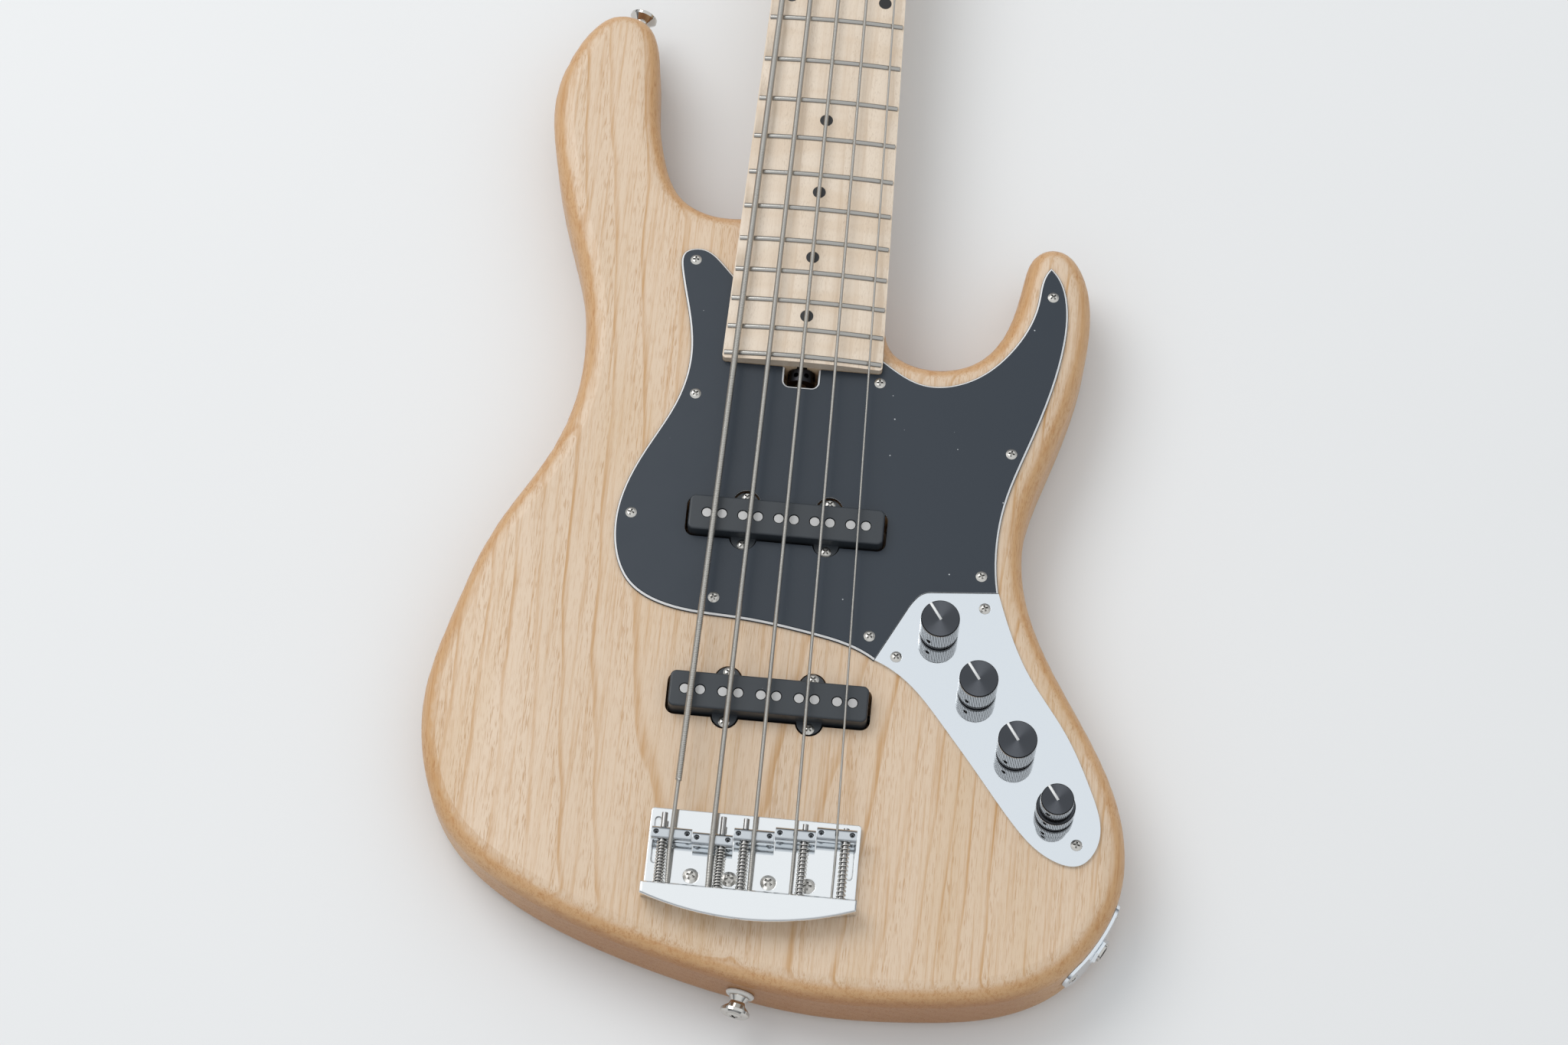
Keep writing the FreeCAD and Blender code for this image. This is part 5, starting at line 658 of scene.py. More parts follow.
def pickguard_finish(finish):
    """Three bonded plies; the middle one shows on the bevel as a white line."""
    material, shader, spot = new_finish("pickguard_plies", {"Specular IOR Level": 0.5})
    low, high = (corner.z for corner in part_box("pickguard"))
    height = split(spot)[2]
    above = calc("GREATER_THAN", height, low + finish.ply_low * (high - low))
    below = calc("LESS_THAN", height, low + finish.ply_high * (high - low))
    specks = effect(shader, "dust_specks", {"Vector": spot, **PICKGUARD_DUST})["Mask"]
    black = mixed(times(specks, PICKGUARD_DUST_SHARE), finish.pickguard, DUST_COLOUR)
    feed(shader, Base_Color=mixed(times(above, below), black, finish.ply_white))
    handled(shader, spot, rough=0.42, spread=0.18)
    bumped(shader, noise(spot, PICKGUARD_SATIN_SCALE), PICKGUARD_SATIN, SATIN_DEPTH)
    return material


def turned_finish(name, colour, rough):
    """Black anodised metal with the round lines of a lathe, which spread highlights into fans."""
    constants = {"Metallic": 1.0, "Base Color": colour, "Anisotropic": 0.9}
    material, shader, spot = new_finish(name, constants)
    handled(shader, spot, rough, spread=0.08)
    tangent = add(shader.id_data, "ShaderNodeTangent", direction_type="RADIAL", axis="Z").outputs[0]
    feed(shader, Tangent=tangent)
    return material


def felt_finish(finish):
    """White felt with a soft nap."""
    material, shader, spot = new_finish("strap_felt", {"Roughness": 1.0, "Sheen Weight": 0.5})
    fuzz = noise(spot, *FELT_FUZZ)
    feed(shader, Base_Color=mixed(fuzz, finish.felt, FELT_SHADE))
    bumped(shader, fuzz, *FELT_NAP)
    return material


def circuit_finish():
    """Green circuit board whose raised parts are black."""
    material, shader, spot = new_finish("circuit_board", {"Roughness": 0.45})
    low, high = (corner.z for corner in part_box("preamp_board"))
    raised = calc("GREATER_THAN", split(spot)[2], low + CIRCUIT_THICKNESS * (high - low))
    tracks = ramp(noise(spot, *CIRCUIT_TRACKS), *CIRCUIT_EDGES)
    board = mixed(tracks, CIRCUIT_GREEN, TRACK_GREEN)
    feed(shader, Base_Color=mixed(raised, board, PART_BLACK))
    return material


def floor_finish(stage):
    material, shader, spot = new_finish("pale_floor", {"Roughness": 0.9, "Specular IOR Level": 0.1})
    shade = [FLOOR_SHADE * value for value in stage.floor_colour]
    mottle = noise(spot, *FLOOR_MOTTLE)
    feed(shader, Base_Color=mixed(mottle, stage.floor_colour, shade))
    return material


# Settings that a user would change

def setting(kind, **options):
    """Maker of one kind of setting, which takes its name, its description and its default."""
    def make(name, description, default):
        return kind(name=name, description=description, default=default, **options)
    return make


tint = setting(FloatVectorProperty, subtype="COLOR", min=0.0, max=1.0)
amount = setting(FloatProperty)
whole = setting(IntProperty)
metres = setting(FloatProperty, unit="LENGTH")
turning = setting(FloatProperty, subtype="ANGLE")
position = setting(FloatVectorProperty, unit="LENGTH")
pair = setting(FloatVectorProperty, size=2)
per_string = setting(FloatVectorProperty, size=STRING_COUNT, unit="LENGTH")


class BassWood(bpy.types.PropertyGroup):
    ash_pale: tint("Ash", "Cream wood between the ring lines", (0.68, 0.523, 0.38))
    ash_warm: tint("Ash, warm", "Warmer stretches of the body", (0.61, 0.435, 0.265))
    ash_line: tint("Ash lines", "Brown ring lines", (0.50, 0.275, 0.105))
    ash_pore: tint("Ash pores", "Short dark pores", (0.42, 0.215, 0.075))
    # Tints of rounded edges and end grain: partly the cut grain's own tone, partly painted shade
    ash_edge_tone_and_shade: tint("Ash edges", "Tint of the wood on rounded edges", (0.91, 0.725, 0.51))
    ash_end_grain_and_shade: tint("Ash end grain", "Tint of wood cut across its grain", (0.66, 0.52, 0.40))
    maple_pale: tint("Maple neck", "Pale wood of the neck", (0.66, 0.50, 0.34))
    board_pale: tint("Maple board", "Pale wood of the fretboard", (0.765, 0.645, 0.52))
    maple_warm: tint("Maple figure", "Cross figure of the maple", (0.62, 0.46, 0.31))
    maple_line: tint("Maple lines", "Faint ring lines of the maple", (0.50, 0.35, 0.22))
    maple_fleck: tint("Maple flecks", "Tiny flecks of the maple", (0.36, 0.24, 0.14))
    ash_ring_width: amount("Ring width", "Growth of the ash in a year, in mm", 6.0)
    ash_wander: amount("Wander", "How far the ring lines stray, in mm", 14.0)
    ash_pith: pair("Pith", "Across and up to the tree's middle, in mm", (-20.0, -140.0))
    ash_pith_slope: amount("Pith slope", "Rise of the tree's middle along the body", 0.035)


class BassFinish(bpy.types.PropertyGroup):
    pickguard: tint("Pickguard", "Outer plies of the pickguard", (0.0125, 0.0215, 0.034))
    ply_white: tint("White ply", "Middle ply of the pickguard", (0.82, 0.83, 0.84))
    ply_low: amount("Ply from", "Lower face of the white ply, as a share", 0.53)
    ply_high: amount("Ply to", "Upper face of the white ply, as a share", 0.87)
    satin_black: tint("Satin black", "Pickup covers", (0.026, 0.032, 0.039))
    chrome: tint("Chrome", "Plates and tuners", (0.80, 0.84, 0.88))
    bridge_chrome: tint("Bridge chrome", "Plate and block of the bridge", (0.93, 0.945, 0.955))
    # A darker copy of the bridge chrome: painted shade for the darker reflections on the barrels
    saddle_shaded_chrome: tint("Saddle chrome", "Barrels of the saddles", (0.66, 0.69, 0.72))
    nickel: tint("Nickel", "Screws, springs, strap buttons, jack", (0.62, 0.60, 0.565))
    steel: tint("Steel", "Intonation screws and rods", (0.34, 0.335, 0.33))
    fret_wire: tint("Fret wire", "Frets", (0.43, 0.415, 0.39))
    string_wire: tint("String wire", "Wrap of the strings", (0.52, 0.50, 0.465))
    pole: tint("Pole pieces", "Ground ends of the magnets", (0.42, 0.415, 0.41))
    knob_black: tint("Knob black", "Anodised knob tops", (0.075, 0.08, 0.09))
    pointer: tint("Pointer", "White line of a knob", (0.85, 0.85, 0.84))
    felt: tint("Felt", "Washers of the strap buttons", (0.85, 0.84, 0.80))


class BassStrings(bpy.types.PropertyGroup):
    wrap_pitches: per_string("Wrap pitches", "Wire of each wrap, low to high",
                             (0.9 * MM, 0.72 * MM, 0.58 * MM, 0.48 * MM, 0.38 * MM))
    wrap_depth: amount("Wrap depth", "Valley between turns, as a share of the wire", 0.26)
    wrap_columns: whole("Steps per turn", "Points round a turn of wrap", 9)


class BassKnobs(bpy.types.PropertyGroup):
    teeth: whole("Knurl teeth", "Teeth round a knob", 72)
    depth: metres("Knurl depth", "Depth of the knurl", 0.28 * MM)
    foot: metres("Foot", "Smooth black foot below the knurl", 1.2 * MM)
    chamfer: metres("Chamfer", "Black ring round the top", 0.5 * MM)
    pointer_width: metres("Pointer width", "White line", 1.25 * MM)
    pointer_turn: turning("Pointer turn", "Turn of the line from the head's direction", math.radians(35.0))
    set_screw_radius: metres("Set screw", "Radius of the set screw's hole", 1.15 * MM)


class BassStage(bpy.types.PropertyGroup):
    floor_colour: tint("Floor", "Pale floor", (0.80, 0.80, 0.80))
    sky_top: tint("Sky above", "Light from above", (0.95, 0.98, 1.0))
    sky_low: tint("Sky at the horizon", "Light from the sides", (0.20, 0.21, 0.225))
    sky_strength: amount("Sky", "Strength of the light all round", 0.9)
    key_power: amount("Key light", "Power of the soft key light", 34.0)
    key_size: metres("Key size", "Width of the soft key light", 2.2)
    key_place: position("Key place", "Place of the soft key light", (-1.5, 1.3, 2.4))
    camera_place: position("Camera", "Place of the camera", (0.05485, -0.5255, 1.6791))
    camera_target: position("Target", "Point that the camera looks at", (-0.001065, 0.155698, 0.05))
    camera_roll: turning("Roll", "Turn of the camera about its view", math.radians(0.692))
    camera_lens: amount("Lens", "Focal length in mm on a 36 mm frame", 84.52)


# Shared effects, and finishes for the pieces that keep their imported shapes

class BASS_OT_effects(bpy.types.Operator):
    """Makes the shader effects that the finishes share"""
    bl_idname = "bass.effects"
    bl_label = "Shared effects"

    def execute(self, context):
        make_grain_effect()
        make_handling_effect()
        make_dust_effect()
        make_crevice_shade_effect()
        return {"FINISHED"}


class BASS_OT_body(bpy.types.Operator):
    """Finishes the ash body"""
    bl_idname = "bass.body"
    bl_label = "Body"

    def execute(self, context):
        paint(ash_finish(context.scene.bass_wood), "body")
        return {"FINISHED"}


class BASS_OT_neck(bpy.types.Operator):
    """Finishes the neck, fretboard, frets, markers, nut and truss rod"""
    bl_idname = "bass.neck"
    bl_label = "Neck"

    def execute(self, context):
        wood = context.scene.bass_wood
        finish = context.scene.bass_finish
        paint(maple_finish(wood, "neck_maple", wood.maple_pale, rough=0.4), "neck")
        paint(maple_finish(wood, "board_maple", wood.board_pale, rough=0.36), "fretboard")
        # The fret wire gets painted shade at its sides
        wire = metal_finish("fret_wire", finish.fret_wire, rough=0.22, spread=0.1, painted_shade_reach=CREVICE_SHADE_REACH)
        paint(wire, "frets")
        dot = moulded_finish("marker_black", MARKER_BLACK, rough=0.35, grain=0.05, dust=0.2)
        paint(dot, "fret_markers")
        paint(moulded_finish("nut_bone", BONE, rough=0.4, grain=0.1, dust=0.0), "nut")
        paint(metal_finish("rod_steel", finish.steel, rough=0.35, spread=0.15), "truss_rod")
        paint(metal_finish("wheel_black", WHEEL_BLACK, rough=0.38, spread=0.2), "truss_rod_wheel")
        paint(metal_finish("ferrule_chrome", finish.chrome, rough=0.08, spread=0.06), "neck_ferrules")
        return {"FINISHED"}


class BASS_OT_plates(bpy.types.Operator):
    """Finishes the pickguard, the control plate, the jack and all screws"""
    bl_idname = "bass.plates"
    bl_label = "Plates and screws"

    def execute(self, context):
        finish = context.scene.bass_finish
        paint(pickguard_finish(finish), "pickguard")
        plate = metal_finish("plate_chrome", finish.chrome, rough=0.05, spread=0.05)
        paint(plate, "control_plate", "jack_plate")
        # The screws get painted shade in their recesses
        screw = metal_finish("screw_nickel", finish.nickel, rough=0.28, spread=0.12, edge=0.12 * MM,
                             painted_shade_reach=CREVICE_SHADE_REACH)
        paint(screw, "plate_screws", "pickup_screws", "bridge_screws", "neck_screws", "strap_screws")
        paint(metal_finish("nut_chrome", finish.chrome, rough=0.12, spread=0.08), "panel_nuts")
        paint(metal_finish("socket_nickel", finish.nickel, rough=0.16, spread=0.1), "jack_socket")
        paint(metal_finish("button_nickel", finish.nickel, rough=0.1, spread=0.1), "strap_buttons")
        return {"FINISHED"}


class BASS_OT_pickups(bpy.types.Operator):
    """Finishes the pickups and what is inside them"""
    bl_idname = "bass.pickups"
    bl_label = "Pickups"

    def execute(self, context):
        finish = context.scene.bass_finish
        paint(moulded_finish("cover_black", finish.satin_black, rough=0.4, edge=0.3 * MM), "pickup_covers")
        # The pole pieces get painted shade round their edges
        pole = metal_finish("pole_steel", finish.pole, rough=0.42, spread=0.2, edge=0.2 * MM, scratch=0.2,
                            painted_shade_reach=POLE_SHADE_REACH)
        paint(pole, "pickup_poles")
        paint(metal_finish("coil_copper", COPPER, rough=0.35, spread=0.1), "pickup_coils")
        paint(moulded_finish("pickup_foam", FOAM_BLACK, rough=0.9, grain=0.8, dust=0.0), "pickup_foam")
        return {"FINISHED"}


class BASS_OT_bridge(bpy.types.Operator):
    """Finishes the bridge, its saddles and its intonation screws"""
    bl_idname = "bass.bridge"
    bl_label = "Bridge"

    def execute(self, context):
        finish = context.scene.bass_finish
        # The bridge plate, saddles and intonation screws get painted shade in their crevices
        plate = metal_finish("bridge_chrome", finish.bridge_chrome, rough=0.06, spread=0.05, edge=0.8 * MM,
                             painted_shade_reach=CREVICE_SHADE_REACH)
        paint(plate, "bridge_plate")
        # Darker copy of the bridge chrome: painted shade for the barrels' darker reflections
        barrel = metal_finish("saddle_shaded_chrome", finish.saddle_shaded_chrome, rough=0.1, spread=0.06,
                              edge=0.25 * MM, painted_shade_reach=CREVICE_SHADE_REACH)
        paint(barrel, *numbered("saddle"))
        screw = metal_finish("screw_steel", finish.steel, rough=0.28, spread=0.12, painted_shade_reach=CREVICE_SHADE_REACH)
        paint(screw, *numbered("intonation_screw"))
        return {"FINISHED"}


class BASS_OT_tuners(bpy.types.Operator):
    """Finishes the tuners"""
    bl_idname = "bass.tuners"
    bl_label = "Tuners"

    def execute(self, context):
        chrome = metal_finish("tuner_chrome", context.scene.bass_finish.chrome, rough=0.09, spread=0.07,
                              edge=0.3 * MM)
        paint(chrome, "tuner_housings", "tuner_bushings", *numbered("tuner_post"), *numbered("tuner_key"))
        return {"FINISHED"}


class BASS_OT_electronics(bpy.types.Operator):
    """Finishes the pots, circuit board, battery and wiring inside the body"""
    bl_idname = "bass.electronics"
    bl_label = "Electronics"

    def execute(self, context):
        paint(metal_finish("pot_metal", POT_METAL, rough=0.35, spread=0.15), "pots")
        paint(circuit_finish(), "preamp_board")
        paint(moulded_finish("battery_shell", FOAM_BLACK, rough=0.4), "battery")
        paint(moulded_finish("cover_plastic", COVER_BLACK, rough=0.45), "battery_cover")
        paint(moulded_finish("lead_vinyl", LEAD_BLACK, rough=0.5), "wiring")
        return {"FINISHED"}


# Springs

def saddle_axis(index):
    """Middle of a saddle's barrel."""
    low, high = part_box("saddle_" + str(index + 1))
    return middle(low, high, high.z - SADDLE_RADIUS)


def spring_wire(across, height, front, back):
    """Round wire wound about a line along Y from front to back, closed at both ends."""
    steps = TURN_STEPS * SPRING_TURNS
    columns = SPRING_WIRE_COLUMNS
    share = np.arange(steps + 1) / steps
    turn = FULL_TURN * SPRING_TURNS * share
    out = np.stack([np.cos(turn), np.zeros(steps + 1), np.sin(turn)], 1)
    path = np.array([across, front, height]) + out * SPRING_RADIUS
    path[:, 1] += (back - front) * share
    angles = FULL_TURN * np.arange(columns) / columns
    ring = out[:, None] * np.cos(angles)[:, None] + np.array(FORWARD) * np.sin(angles)[:, None]
    points = (path[:, None] + SPRING_WIRE_RADIUS * ring).reshape(-1, 3).tolist()
    faces = [face[::-1] for face in ring_faces(steps + 1, columns)]
    faces.append(list(range(columns)))
    faces.append([steps * columns + column for column in reversed(range(columns))])
    return points, faces


class BASS_OT_springs(bpy.types.Operator):
    """Winds a spring between each saddle and the bridge block, placed by its saddle"""
    bl_idname = "bass.springs"
    bl_label = "Springs"

    def execute(self, context):
        wire = metal_finish("spring_nickel", context.scene.bass_finish.nickel, rough=0.2, spread=0.1)
        for index in range(STRING_COUNT):
            axis = saddle_axis(index)
            across = axis.x + INTONATION_OFFSETS[index]
            front = axis.y - SADDLE_RADIUS - SPRING_WIRE_RADIUS - TURNING_GAP
            back = BLOCK_FRONT_Y + SPRING_WIRE_RADIUS + SPRING_END_GAP
            shape = Shape(*spring_wire(across, axis.z, front, back))
            spring = shape.piece("spring_" + str(index + 1), [wire])
            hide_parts("intonation_springs")
            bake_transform(spring)
        return {"FINISHED"}


# Strings

def string_corners(index):
    """Corners of a string from its ball to the tuner post, and the winding on the post."""
    axis = saddle_axis(index)
    end_radius = (LOW_STRING_END_DIAMETER if index == 0 else STRING_DIAMETERS[index]) / 2
    radius = STRING_DIAMETERS[index] / 2
    nut_low, nut_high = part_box("nut")
    nut_length = nut_high.y - nut_low.y
    rest_x = (index - (STRING_COUNT - 1) / 2) * NUT_PITCH
    drop = BOARD_RADIUS - math.sqrt(BOARD_RADIUS ** 2 - rest_x ** 2)
    rest = Vector((rest_x, nut_low.y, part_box("frets")[1].z - drop + STRING_ABOVE_FRET + radius))
    over = axis + UP * (SADDLE_RADIUS - STRING_SINK + end_radius)
    ball = Vector((axis.x, BLOCK_FRONT_Y - BLOCK_WALL - BALL_LENGTH / 2, axis.z - BALL_BELOW_AXIS))
    run = (rest - over) / (rest.y - over.y)
    bend = over - run * STRING_BEND_BEHIND_SADDLE
    leave = rest + FORWARD * (nut_length / 2)
    winding, start_way = post_winding(index, rest + FORWARD * nut_length, radius)
    approach = winding[0] - start_way * (WRAP_APPROACH * (POST_RADIUS + WRAP_CLEARANCE + radius))
    return [ball, bend, leave, approach, winding[0]], winding


def post_winding(index, leave, radius):
    """Points of the turns on a tuner post, and the direction in which they start."""
    low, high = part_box("tuner_post_" + str(index + 1))
    centre = middle(low, high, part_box("tuner_bushings")[1].z + radius + WRAP_GAP)
    reach = POST_RADIUS + WRAP_CLEARANCE + radius
    sense = 1 if centre.x < 0 else -1
    back = Vector((leave.x - centre.x, leave.y - centre.y, 0))
    out = Quaternion(UP, math.acos(reach / back.length) * sense) @ back.normalized()
    across = UP.cross(out) * sense
    points = []
    for step in range(round(WRAP_TURNS[index] * TURN_STEPS) + 1):
        turns = step / TURN_STEPS
        angle = FULL_TURN * turns
        rise = UP * ((2 * radius + WRAP_GAP) * turns)
        points.append(centre + (out * math.cos(angle) + across * math.sin(angle)) * reach + rise)
    return points, across


def string_ball(centre):
    """Ball end, a short barrel along Y with eased rims."""
    face = BALL_RADIUS - BALL_RIM
    profile = [(0, 0), (face, 0), (BALL_RADIUS, BALL_RIM), (BALL_RADIUS, BALL_LENGTH - BALL_RIM),
               (face, BALL_LENGTH), (0, BALL_LENGTH)]
    return lathe(profile, TURN_STEPS, centre - FORWARD * (SEAT_CLEARANCE + BALL_LENGTH / 2), FORWARD)


def string_shape(index, sizes):
    """One string: wrap along its route, a thin stretch on the low one, and its ball."""
    corners, winding = string_corners(index)
    pitch = sizes.wrap_pitches[index]
    columns = sizes.wrap_columns
    path = np.array(rounded_path(corners, STRING_BEND_RADIUS)[:-1] + winding)
    shape = Shape()
    if index == 0:
        cut = int(np.searchsorted(path[:, 1], LOW_STRING_TAPER_Y))
        share = (LOW_STRING_TAPER_Y - path[cut - 1, 1]) / (path[cut, 1] - path[cut - 1, 1])
        taper = path[cut - 1] + (path[cut] - path[cut - 1]) * share
        overlap = LOW_STRING_OVERLAP_TURNS * pitch
        inside = taper + (path[cut] - taper) / np.linalg.norm(path[cut] - taper) * overlap
        thin = np.concatenate([path[:cut], [taper, inside]])
        fine = sizes.wrap_pitches[LOW_STRING_END_WRAP]
        shape.add(*wound_tube(thin, LOW_STRING_END_DIAMETER / 2, fine, sizes.wrap_depth * fine, columns))
        path = np.concatenate([[taper], path[cut:]])
    shape.add(*wound_tube(path, STRING_DIAMETERS[index] / 2, pitch, sizes.wrap_depth * pitch, columns))
    shape.add(*string_ball(corners[0]), BALL_MARK)
    return shape


class BASS_OT_strings(bpy.types.Operator):
    """Winds the five strings with their wrap wire and ball ends"""
    bl_idname = "bass.strings"
    bl_label = "Strings"

    def execute(self, context):
        finish = context.scene.bass_finish
        # The string wrap gets painted shade in the valleys between its turns
        wire = metal_finish("string_wire", finish.string_wire, rough=0.34, spread=0.12,
                            painted_shade_reach=CREVICE_SHADE_REACH)
        brass = metal_finish("ball_brass", BRASS, rough=0.3, spread=0.1)
        for index in range(STRING_COUNT):
            shape = string_shape(index, context.scene.bass_strings)
            piece = shape.piece("string_" + str(index + 1), [wire, brass])
            crisp_turns(piece)
            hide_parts("strings")
            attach(piece, ROOT)
        return {"FINISHED"}


# Knobs

def knob_shape(name, sizes):
    """One knob: smooth foot, dark groove, knurled wall with the set screw's hole, chamfer and turned top."""
    low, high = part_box(name)
    centre = middle(low, high, 0)
    base, shaft, bore = KNOB_BASE, SHAFT_RADIUS, 0.0
    if name == "stack_upper_knob":
        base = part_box("stack_lower_knob")[1].z + STACK_GAP
        shaft = STACK_SHAFT_RADIUS
    if name == "stack_lower_knob":
        bore = STACK_BORE_RADIUS
    radius = (high.x - low.x) / 2
    top = high.z - KNOB_POINTER_PROUD
    columns = sizes.teeth * len(TOOTH_STEPS)
    root = radius - sizes.depth
    ring = radius - sizes.depth / 2
    inner = radius - GROOVE_DEPTH
    foot_top = base + sizes.foot
    wall_low = foot_top + GROOVE_WIDTH
    wall_high = top - sizes.chamfer
    rim = radius - sizes.chamfer
    under = [(bore, low.z), (shaft, low.z), (shaft, base), (root, base), (root, foot_top),
             (inner, foot_top), (inner, wall_low)]
    shape = Shape(*lathe(under, columns, centre), KNOB_FOOT_AND_SHADE)
    shape.add(*knurled_wall(centre, radius, wall_low, wall_high, sizes, base, inner))
    crown = [(ring, wall_high), (ring, top - sizes.chamfer / 2), (rim, top)]
    shape.add(*lathe(crown, columns, centre), KNOB_FOOT_AND_SHADE)
    shape.add(*lathe([(rim, top), (radius / 2, top), (bore, top)], columns, centre), KNOB_TOP)
    if bore:
        shape.add(*lathe([(bore, top), (bore, low.z)], columns, centre), KNOB_FOOT_AND_SHADE)
    if name in POINTED_KNOBS:
        shape.add(*pointer_bar(centre, rim, ring, top, sizes), KNOB_POINTER)
    return shape


def knurled_wall(centre, radius, low, high, sizes, base, inner):
    """Bright straight teeth round the wall; the valleys between the teeth and the set screw's sunk hole get
    the black foot finish as painted shade.
    """
    columns = sizes.teeth * len(TOOTH_STEPS)
    points = []
    sunk = set()
    for row in range(KNOB_ROWS + 1):
        height = low + (high - low) * row / KNOB_ROWS
        for column in range(columns):
            angle = FULL_TURN * column / columns
            reach = radius - sizes.depth * TOOTH_STEPS[column % len(TOOTH_STEPS)]
            if row in (0, KNOB_ROWS):
                reach = inner
            off = (angle - SET_SCREW_TURN + math.pi) % FULL_TURN - math.pi
            if math.hypot(off * radius, height - base - SET_SCREW_HEIGHT) < sizes.set_screw_radius:
                reach -= SET_SCREW_DEPTH
                sunk.add(len(points))
            points.append(centre + Vector((reach * math.cos(angle), reach * math.sin(angle), height)))
    faces = ring_faces(KNOB_ROWS + 1, columns)
    marks = []
    for number, face in enumerate(faces):
        # Painted shade: root faces of the teeth and the sunk hole's faces get the black foot finish
        groove = number % len(TOOTH_STEPS) in PAINTED_SHADE_TOOTH_FACES
        marks.append(KNOB_FOOT_AND_SHADE if groove or sunk.intersection(face) else KNOB_KNURL)
    return points, faces, marks


def pointer_bar(centre, rim, ring, top, sizes):
    """White line laid into the top, from just past the middle and down over the chamfer."""
    half = sizes.pointer_width / 2
    deep = sizes.chamfer
    proud_top = top + KNOB_POINTER_PROUD
    proud_ring = ring + KNOB_POINTER_PROUD
    stations = [(-half, proud_top), (rim, proud_top), (proud_ring, top - deep / 2), (proud_ring, top - deep)]
    section = [(-half, 0.0), (half, 0.0), (half, deep), (-half, deep)]
    turn = Quaternion(UP, sizes.pointer_turn)
    points = []
    for along, height in stations:
        points += [centre + turn @ Vector((side, along, height - sink)) for side, sink in section]
    corners = list(range(len(section)))
    last = len(points) - len(section)
    faces = ring_faces(len(stations), len(section))
    faces += [corners[::-1], [last + corner for corner in corners]]
    return points, faces


class BASS_OT_knobs(bpy.types.Operator):
    """Turns and knurls the knobs with their white pointer lines"""
    bl_idname = "bass.knobs"
    bl_label = "Knobs"

    def execute(self, context):
        finish = context.scene.bass_finish
        # The knurl gets painted shade near its teeth's roots
        knurl = metal_finish("knob_knurl", TOOTH_CHROME, rough=0.16, spread=0.06, edge=0.05 * MM,
                             painted_shade_reach=KNURL_SHADE_REACH)
        pointer = moulded_finish("knob_pointer", finish.pointer, rough=0.4, grain=0.05, edge=0.02 * MM,
                                 dust=0.0)
        materials = [turned_finish("knob_top", finish.knob_black, rough=0.34), knurl,
                     # The black foot finish also paints the shade in the knurl's valleys and the set screw's
                     # hole
                     metal_finish("knob_foot_and_shade", PART_BLACK, rough=0.3, spread=0.1, edge=0.1 * MM), pointer]
        for name in POINTED_KNOBS + ("stack_lower_knob",):
            piece = knob_shape(name, context.scene.bass_knobs).piece(name + "_turned", materials)
            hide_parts(name)
            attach(piece, name)
        return {"FINISHED"}


# Felts

def felt_washer(mount):
    """Washer with a rounded, slightly uneven rim."""
    outward = Vector(mount["axis"]).normalized()
    place = Vector(mount["pos_m"])
    half = FELT_THICKNESS / 2
    profile = [(FELT_HOLE, 0.0)]
    for step in range(FELT_EDGE_STEPS + 1):
        angle = math.pi * (step / FELT_EDGE_STEPS - 0.5)
        profile.append((FELT_RADIUS - half + half * math.cos(angle), half + half * math.sin(angle)))
    profile += [(FELT_HOLE, FELT_THICKNESS), (FELT_HOLE, 0.0)]
    points, faces = lathe(profile, FELT_COLUMNS, place, outward)
    for number, point in enumerate(points):
        column = number % FELT_COLUMNS
        wave = sum(1 + math.sin(rate * column + start) for rate, start in FELT_WAVES)
        out = point - place - outward * (point - place).dot(outward)
        points[number] = point - out * (FELT_WAVE_SHARE * wave)
    return points, faces


class BASS_OT_felts(bpy.types.Operator):
    """Presses a felt washer under each strap button"""
    bl_idname = "bass.felts"
    bl_label = "Strap felts"

    def execute(self, context):
        felt = felt_finish(context.scene.bass_finish)
        mounts = {mount["name"]: mount for mount in frame["record"]["mounts"]}
        for number, name in enumerate(FELTED_BUTTONS):
            piece = Shape(*felt_washer(mounts[name])).piece("felt_" + str(number + 1), [felt])
            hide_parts("strap_felts")
            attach(piece, ROOT)
        return {"FINISHED"}


# Stage

def make_floor(stage):
    level = CAD_BOX[0][2] - FLOOR_DROP
    signs = ((-1, -1), (1, -1), (1, 1), (-1, 1))
    shape = Shape([(FLOOR_HALF * x, FLOOR_HALF * y, level) for x, y in signs], [[0, 1, 2, 3]])
    shape.piece("floor", [floor_finish(stage)])


def make_sky(scene, stage):
    """Bright above and greyer towards the horizon."""
    world = bpy.data.worlds.new("studio_sky")
    world.use_nodes = True
    scene.world = world
    tree = world.node_tree
    sky = tree.nodes["Background"]
    height = split(tree.nodes.new("ShaderNodeTexCoord").outputs["Generated"])[2]
    shade = mixed(ramp(height, *SKY_RISE), stage.sky_low, stage.sky_top)
    plug(sky.inputs["Color"], shade)
    plug(sky.inputs["Strength"], stage.sky_strength)


def aimed(scene, name, data, place, target, roll=0.0):
    """Lamp or camera at a place, turned to a target."""
    made = bpy.data.objects.new(name, data)
    made.location = place
    made.rotation_mode = "QUATERNION"
    look = (Vector(target) - Vector(place)).to_track_quat("-Z", "Y")
    made.rotation_quaternion = look @ Quaternion(UP, roll)
    scene.collection.objects.link(made)
    return made


def make_key_light(scene, stage):
    light = bpy.data.lights.new("key", "AREA")
    light.shape = "DISK"
    light.size = stage.key_size
    light.energy = stage.key_power
    aimed(scene, "key", light, stage.key_place, stage.camera_target)


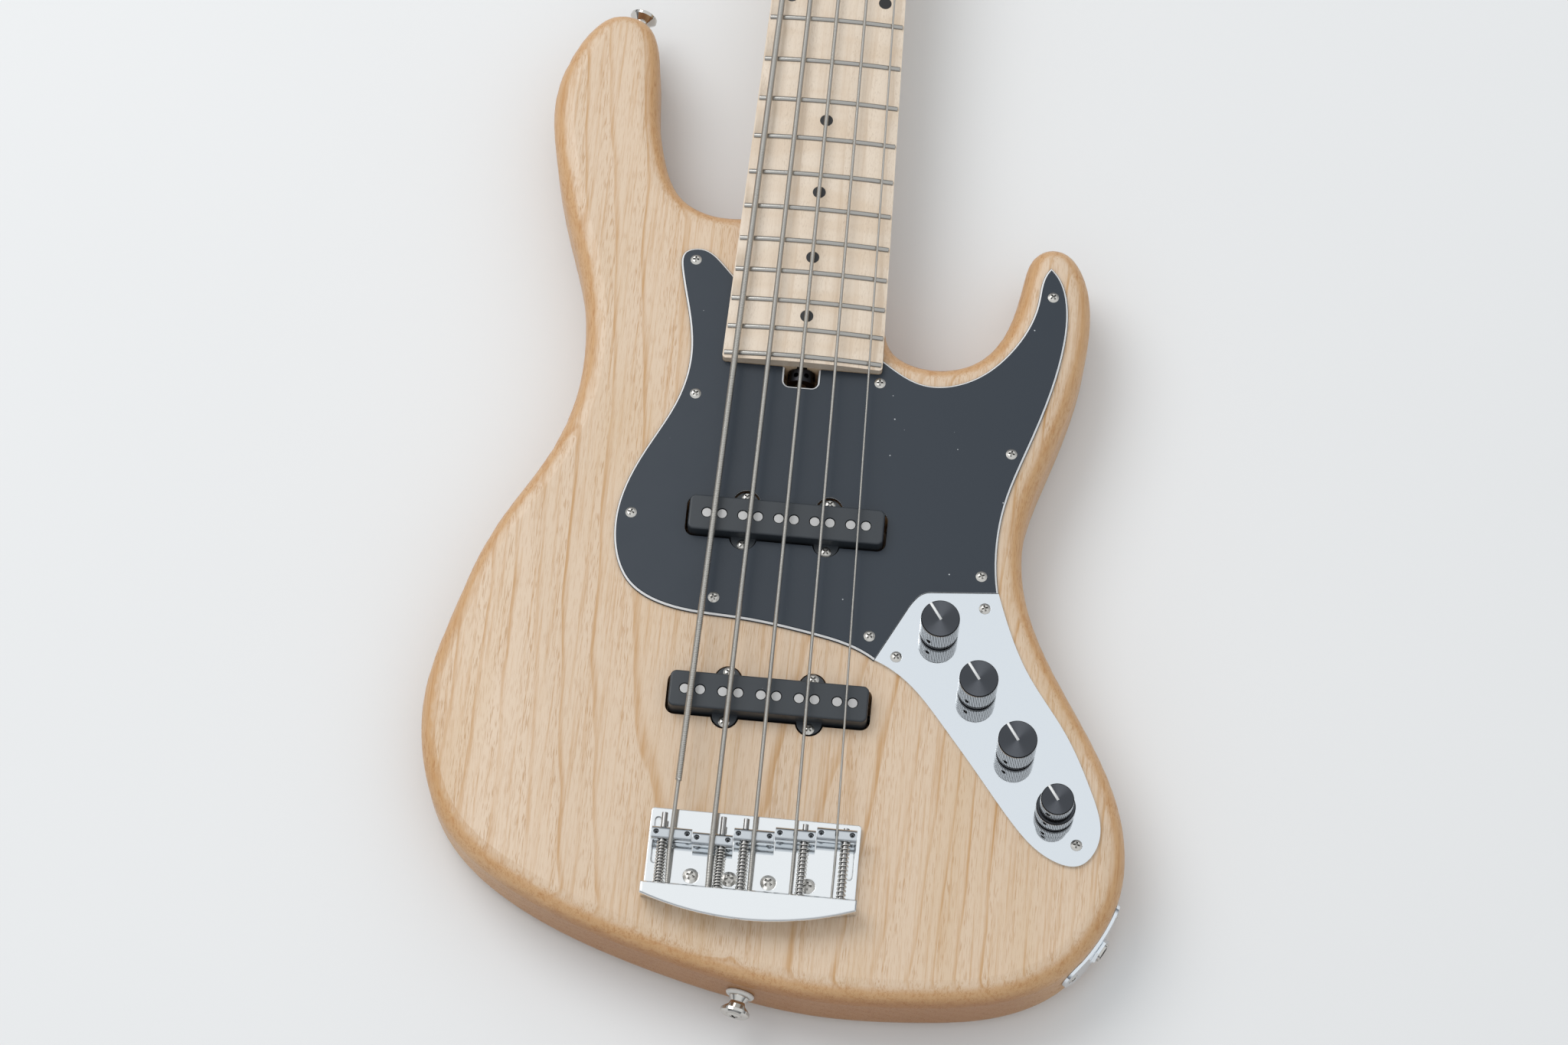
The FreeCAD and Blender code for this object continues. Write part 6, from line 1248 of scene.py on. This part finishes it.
def make_camera(scene, stage):
    lens = bpy.data.cameras.new("camera")
    lens.sensor_width = SENSOR_WIDTH
    lens.lens = stage.camera_lens
    scene.camera = aimed(scene, "camera", lens, stage.camera_place, stage.camera_target, stage.camera_roll)


class BASS_OT_stage(bpy.types.Operator):
    """Sets the floor, the sky, the soft key light and the camera"""
    bl_idname = "bass.stage"
    bl_label = "Stage"

    def execute(self, context):
        stage = context.scene.bass_stage
        context.scene.view_settings.view_transform = "Standard"
        make_floor(stage)
        make_sky(context.scene, stage)
        make_key_light(context.scene, stage)
        make_camera(context.scene, stage)
        return {"FINISHED"}


# Panel, registration and the build

OPERATORS = (BASS_OT_effects, BASS_OT_body, BASS_OT_neck, BASS_OT_plates, BASS_OT_pickups, BASS_OT_bridge,
             BASS_OT_springs, BASS_OT_strings, BASS_OT_knobs, BASS_OT_tuners, BASS_OT_electronics,
             BASS_OT_felts, BASS_OT_stage)
SETTINGS = {"bass_wood": BassWood, "bass_finish": BassFinish, "bass_strings": BassStrings,
            "bass_knobs": BassKnobs, "bass_stage": BassStage}


class BASS_PT_panel(bpy.types.Panel):
    """Lists the settings and the build steps"""
    bl_idname = "BASS_PT_panel"
    bl_label = "Bass guitar"
    bl_space_type = "VIEW_3D"
    bl_region_type = "UI"
    bl_category = "Bass"

    def draw(self, context):
        for name, kind in SETTINGS.items():
            section = self.layout.box()
            section.label(text=name.replace("_", " "))
            for label in kind.__annotations__:
                section.prop(getattr(context.scene, name), label)
        for step in OPERATORS:
            self.layout.operator(step.bl_idname)


def register():
    for kind in (*SETTINGS.values(), *OPERATORS, BASS_PT_panel):
        bpy.utils.register_class(kind)
    for name, kind in SETTINGS.items():
        setattr(bpy.types.Scene, name, PointerProperty(type=kind))


def unregister():
    for name in SETTINGS:
        delattr(bpy.types.Scene, name)
    for kind in (BASS_PT_panel, *reversed(OPERATORS), *SETTINGS.values()):
        bpy.utils.unregister_class(kind)


def main():
    register()
    for step in OPERATORS:
        group, name = step.bl_idname.split(".")
        getattr(getattr(bpy.ops, group), name)()


if __name__ == "__main__":
    main()
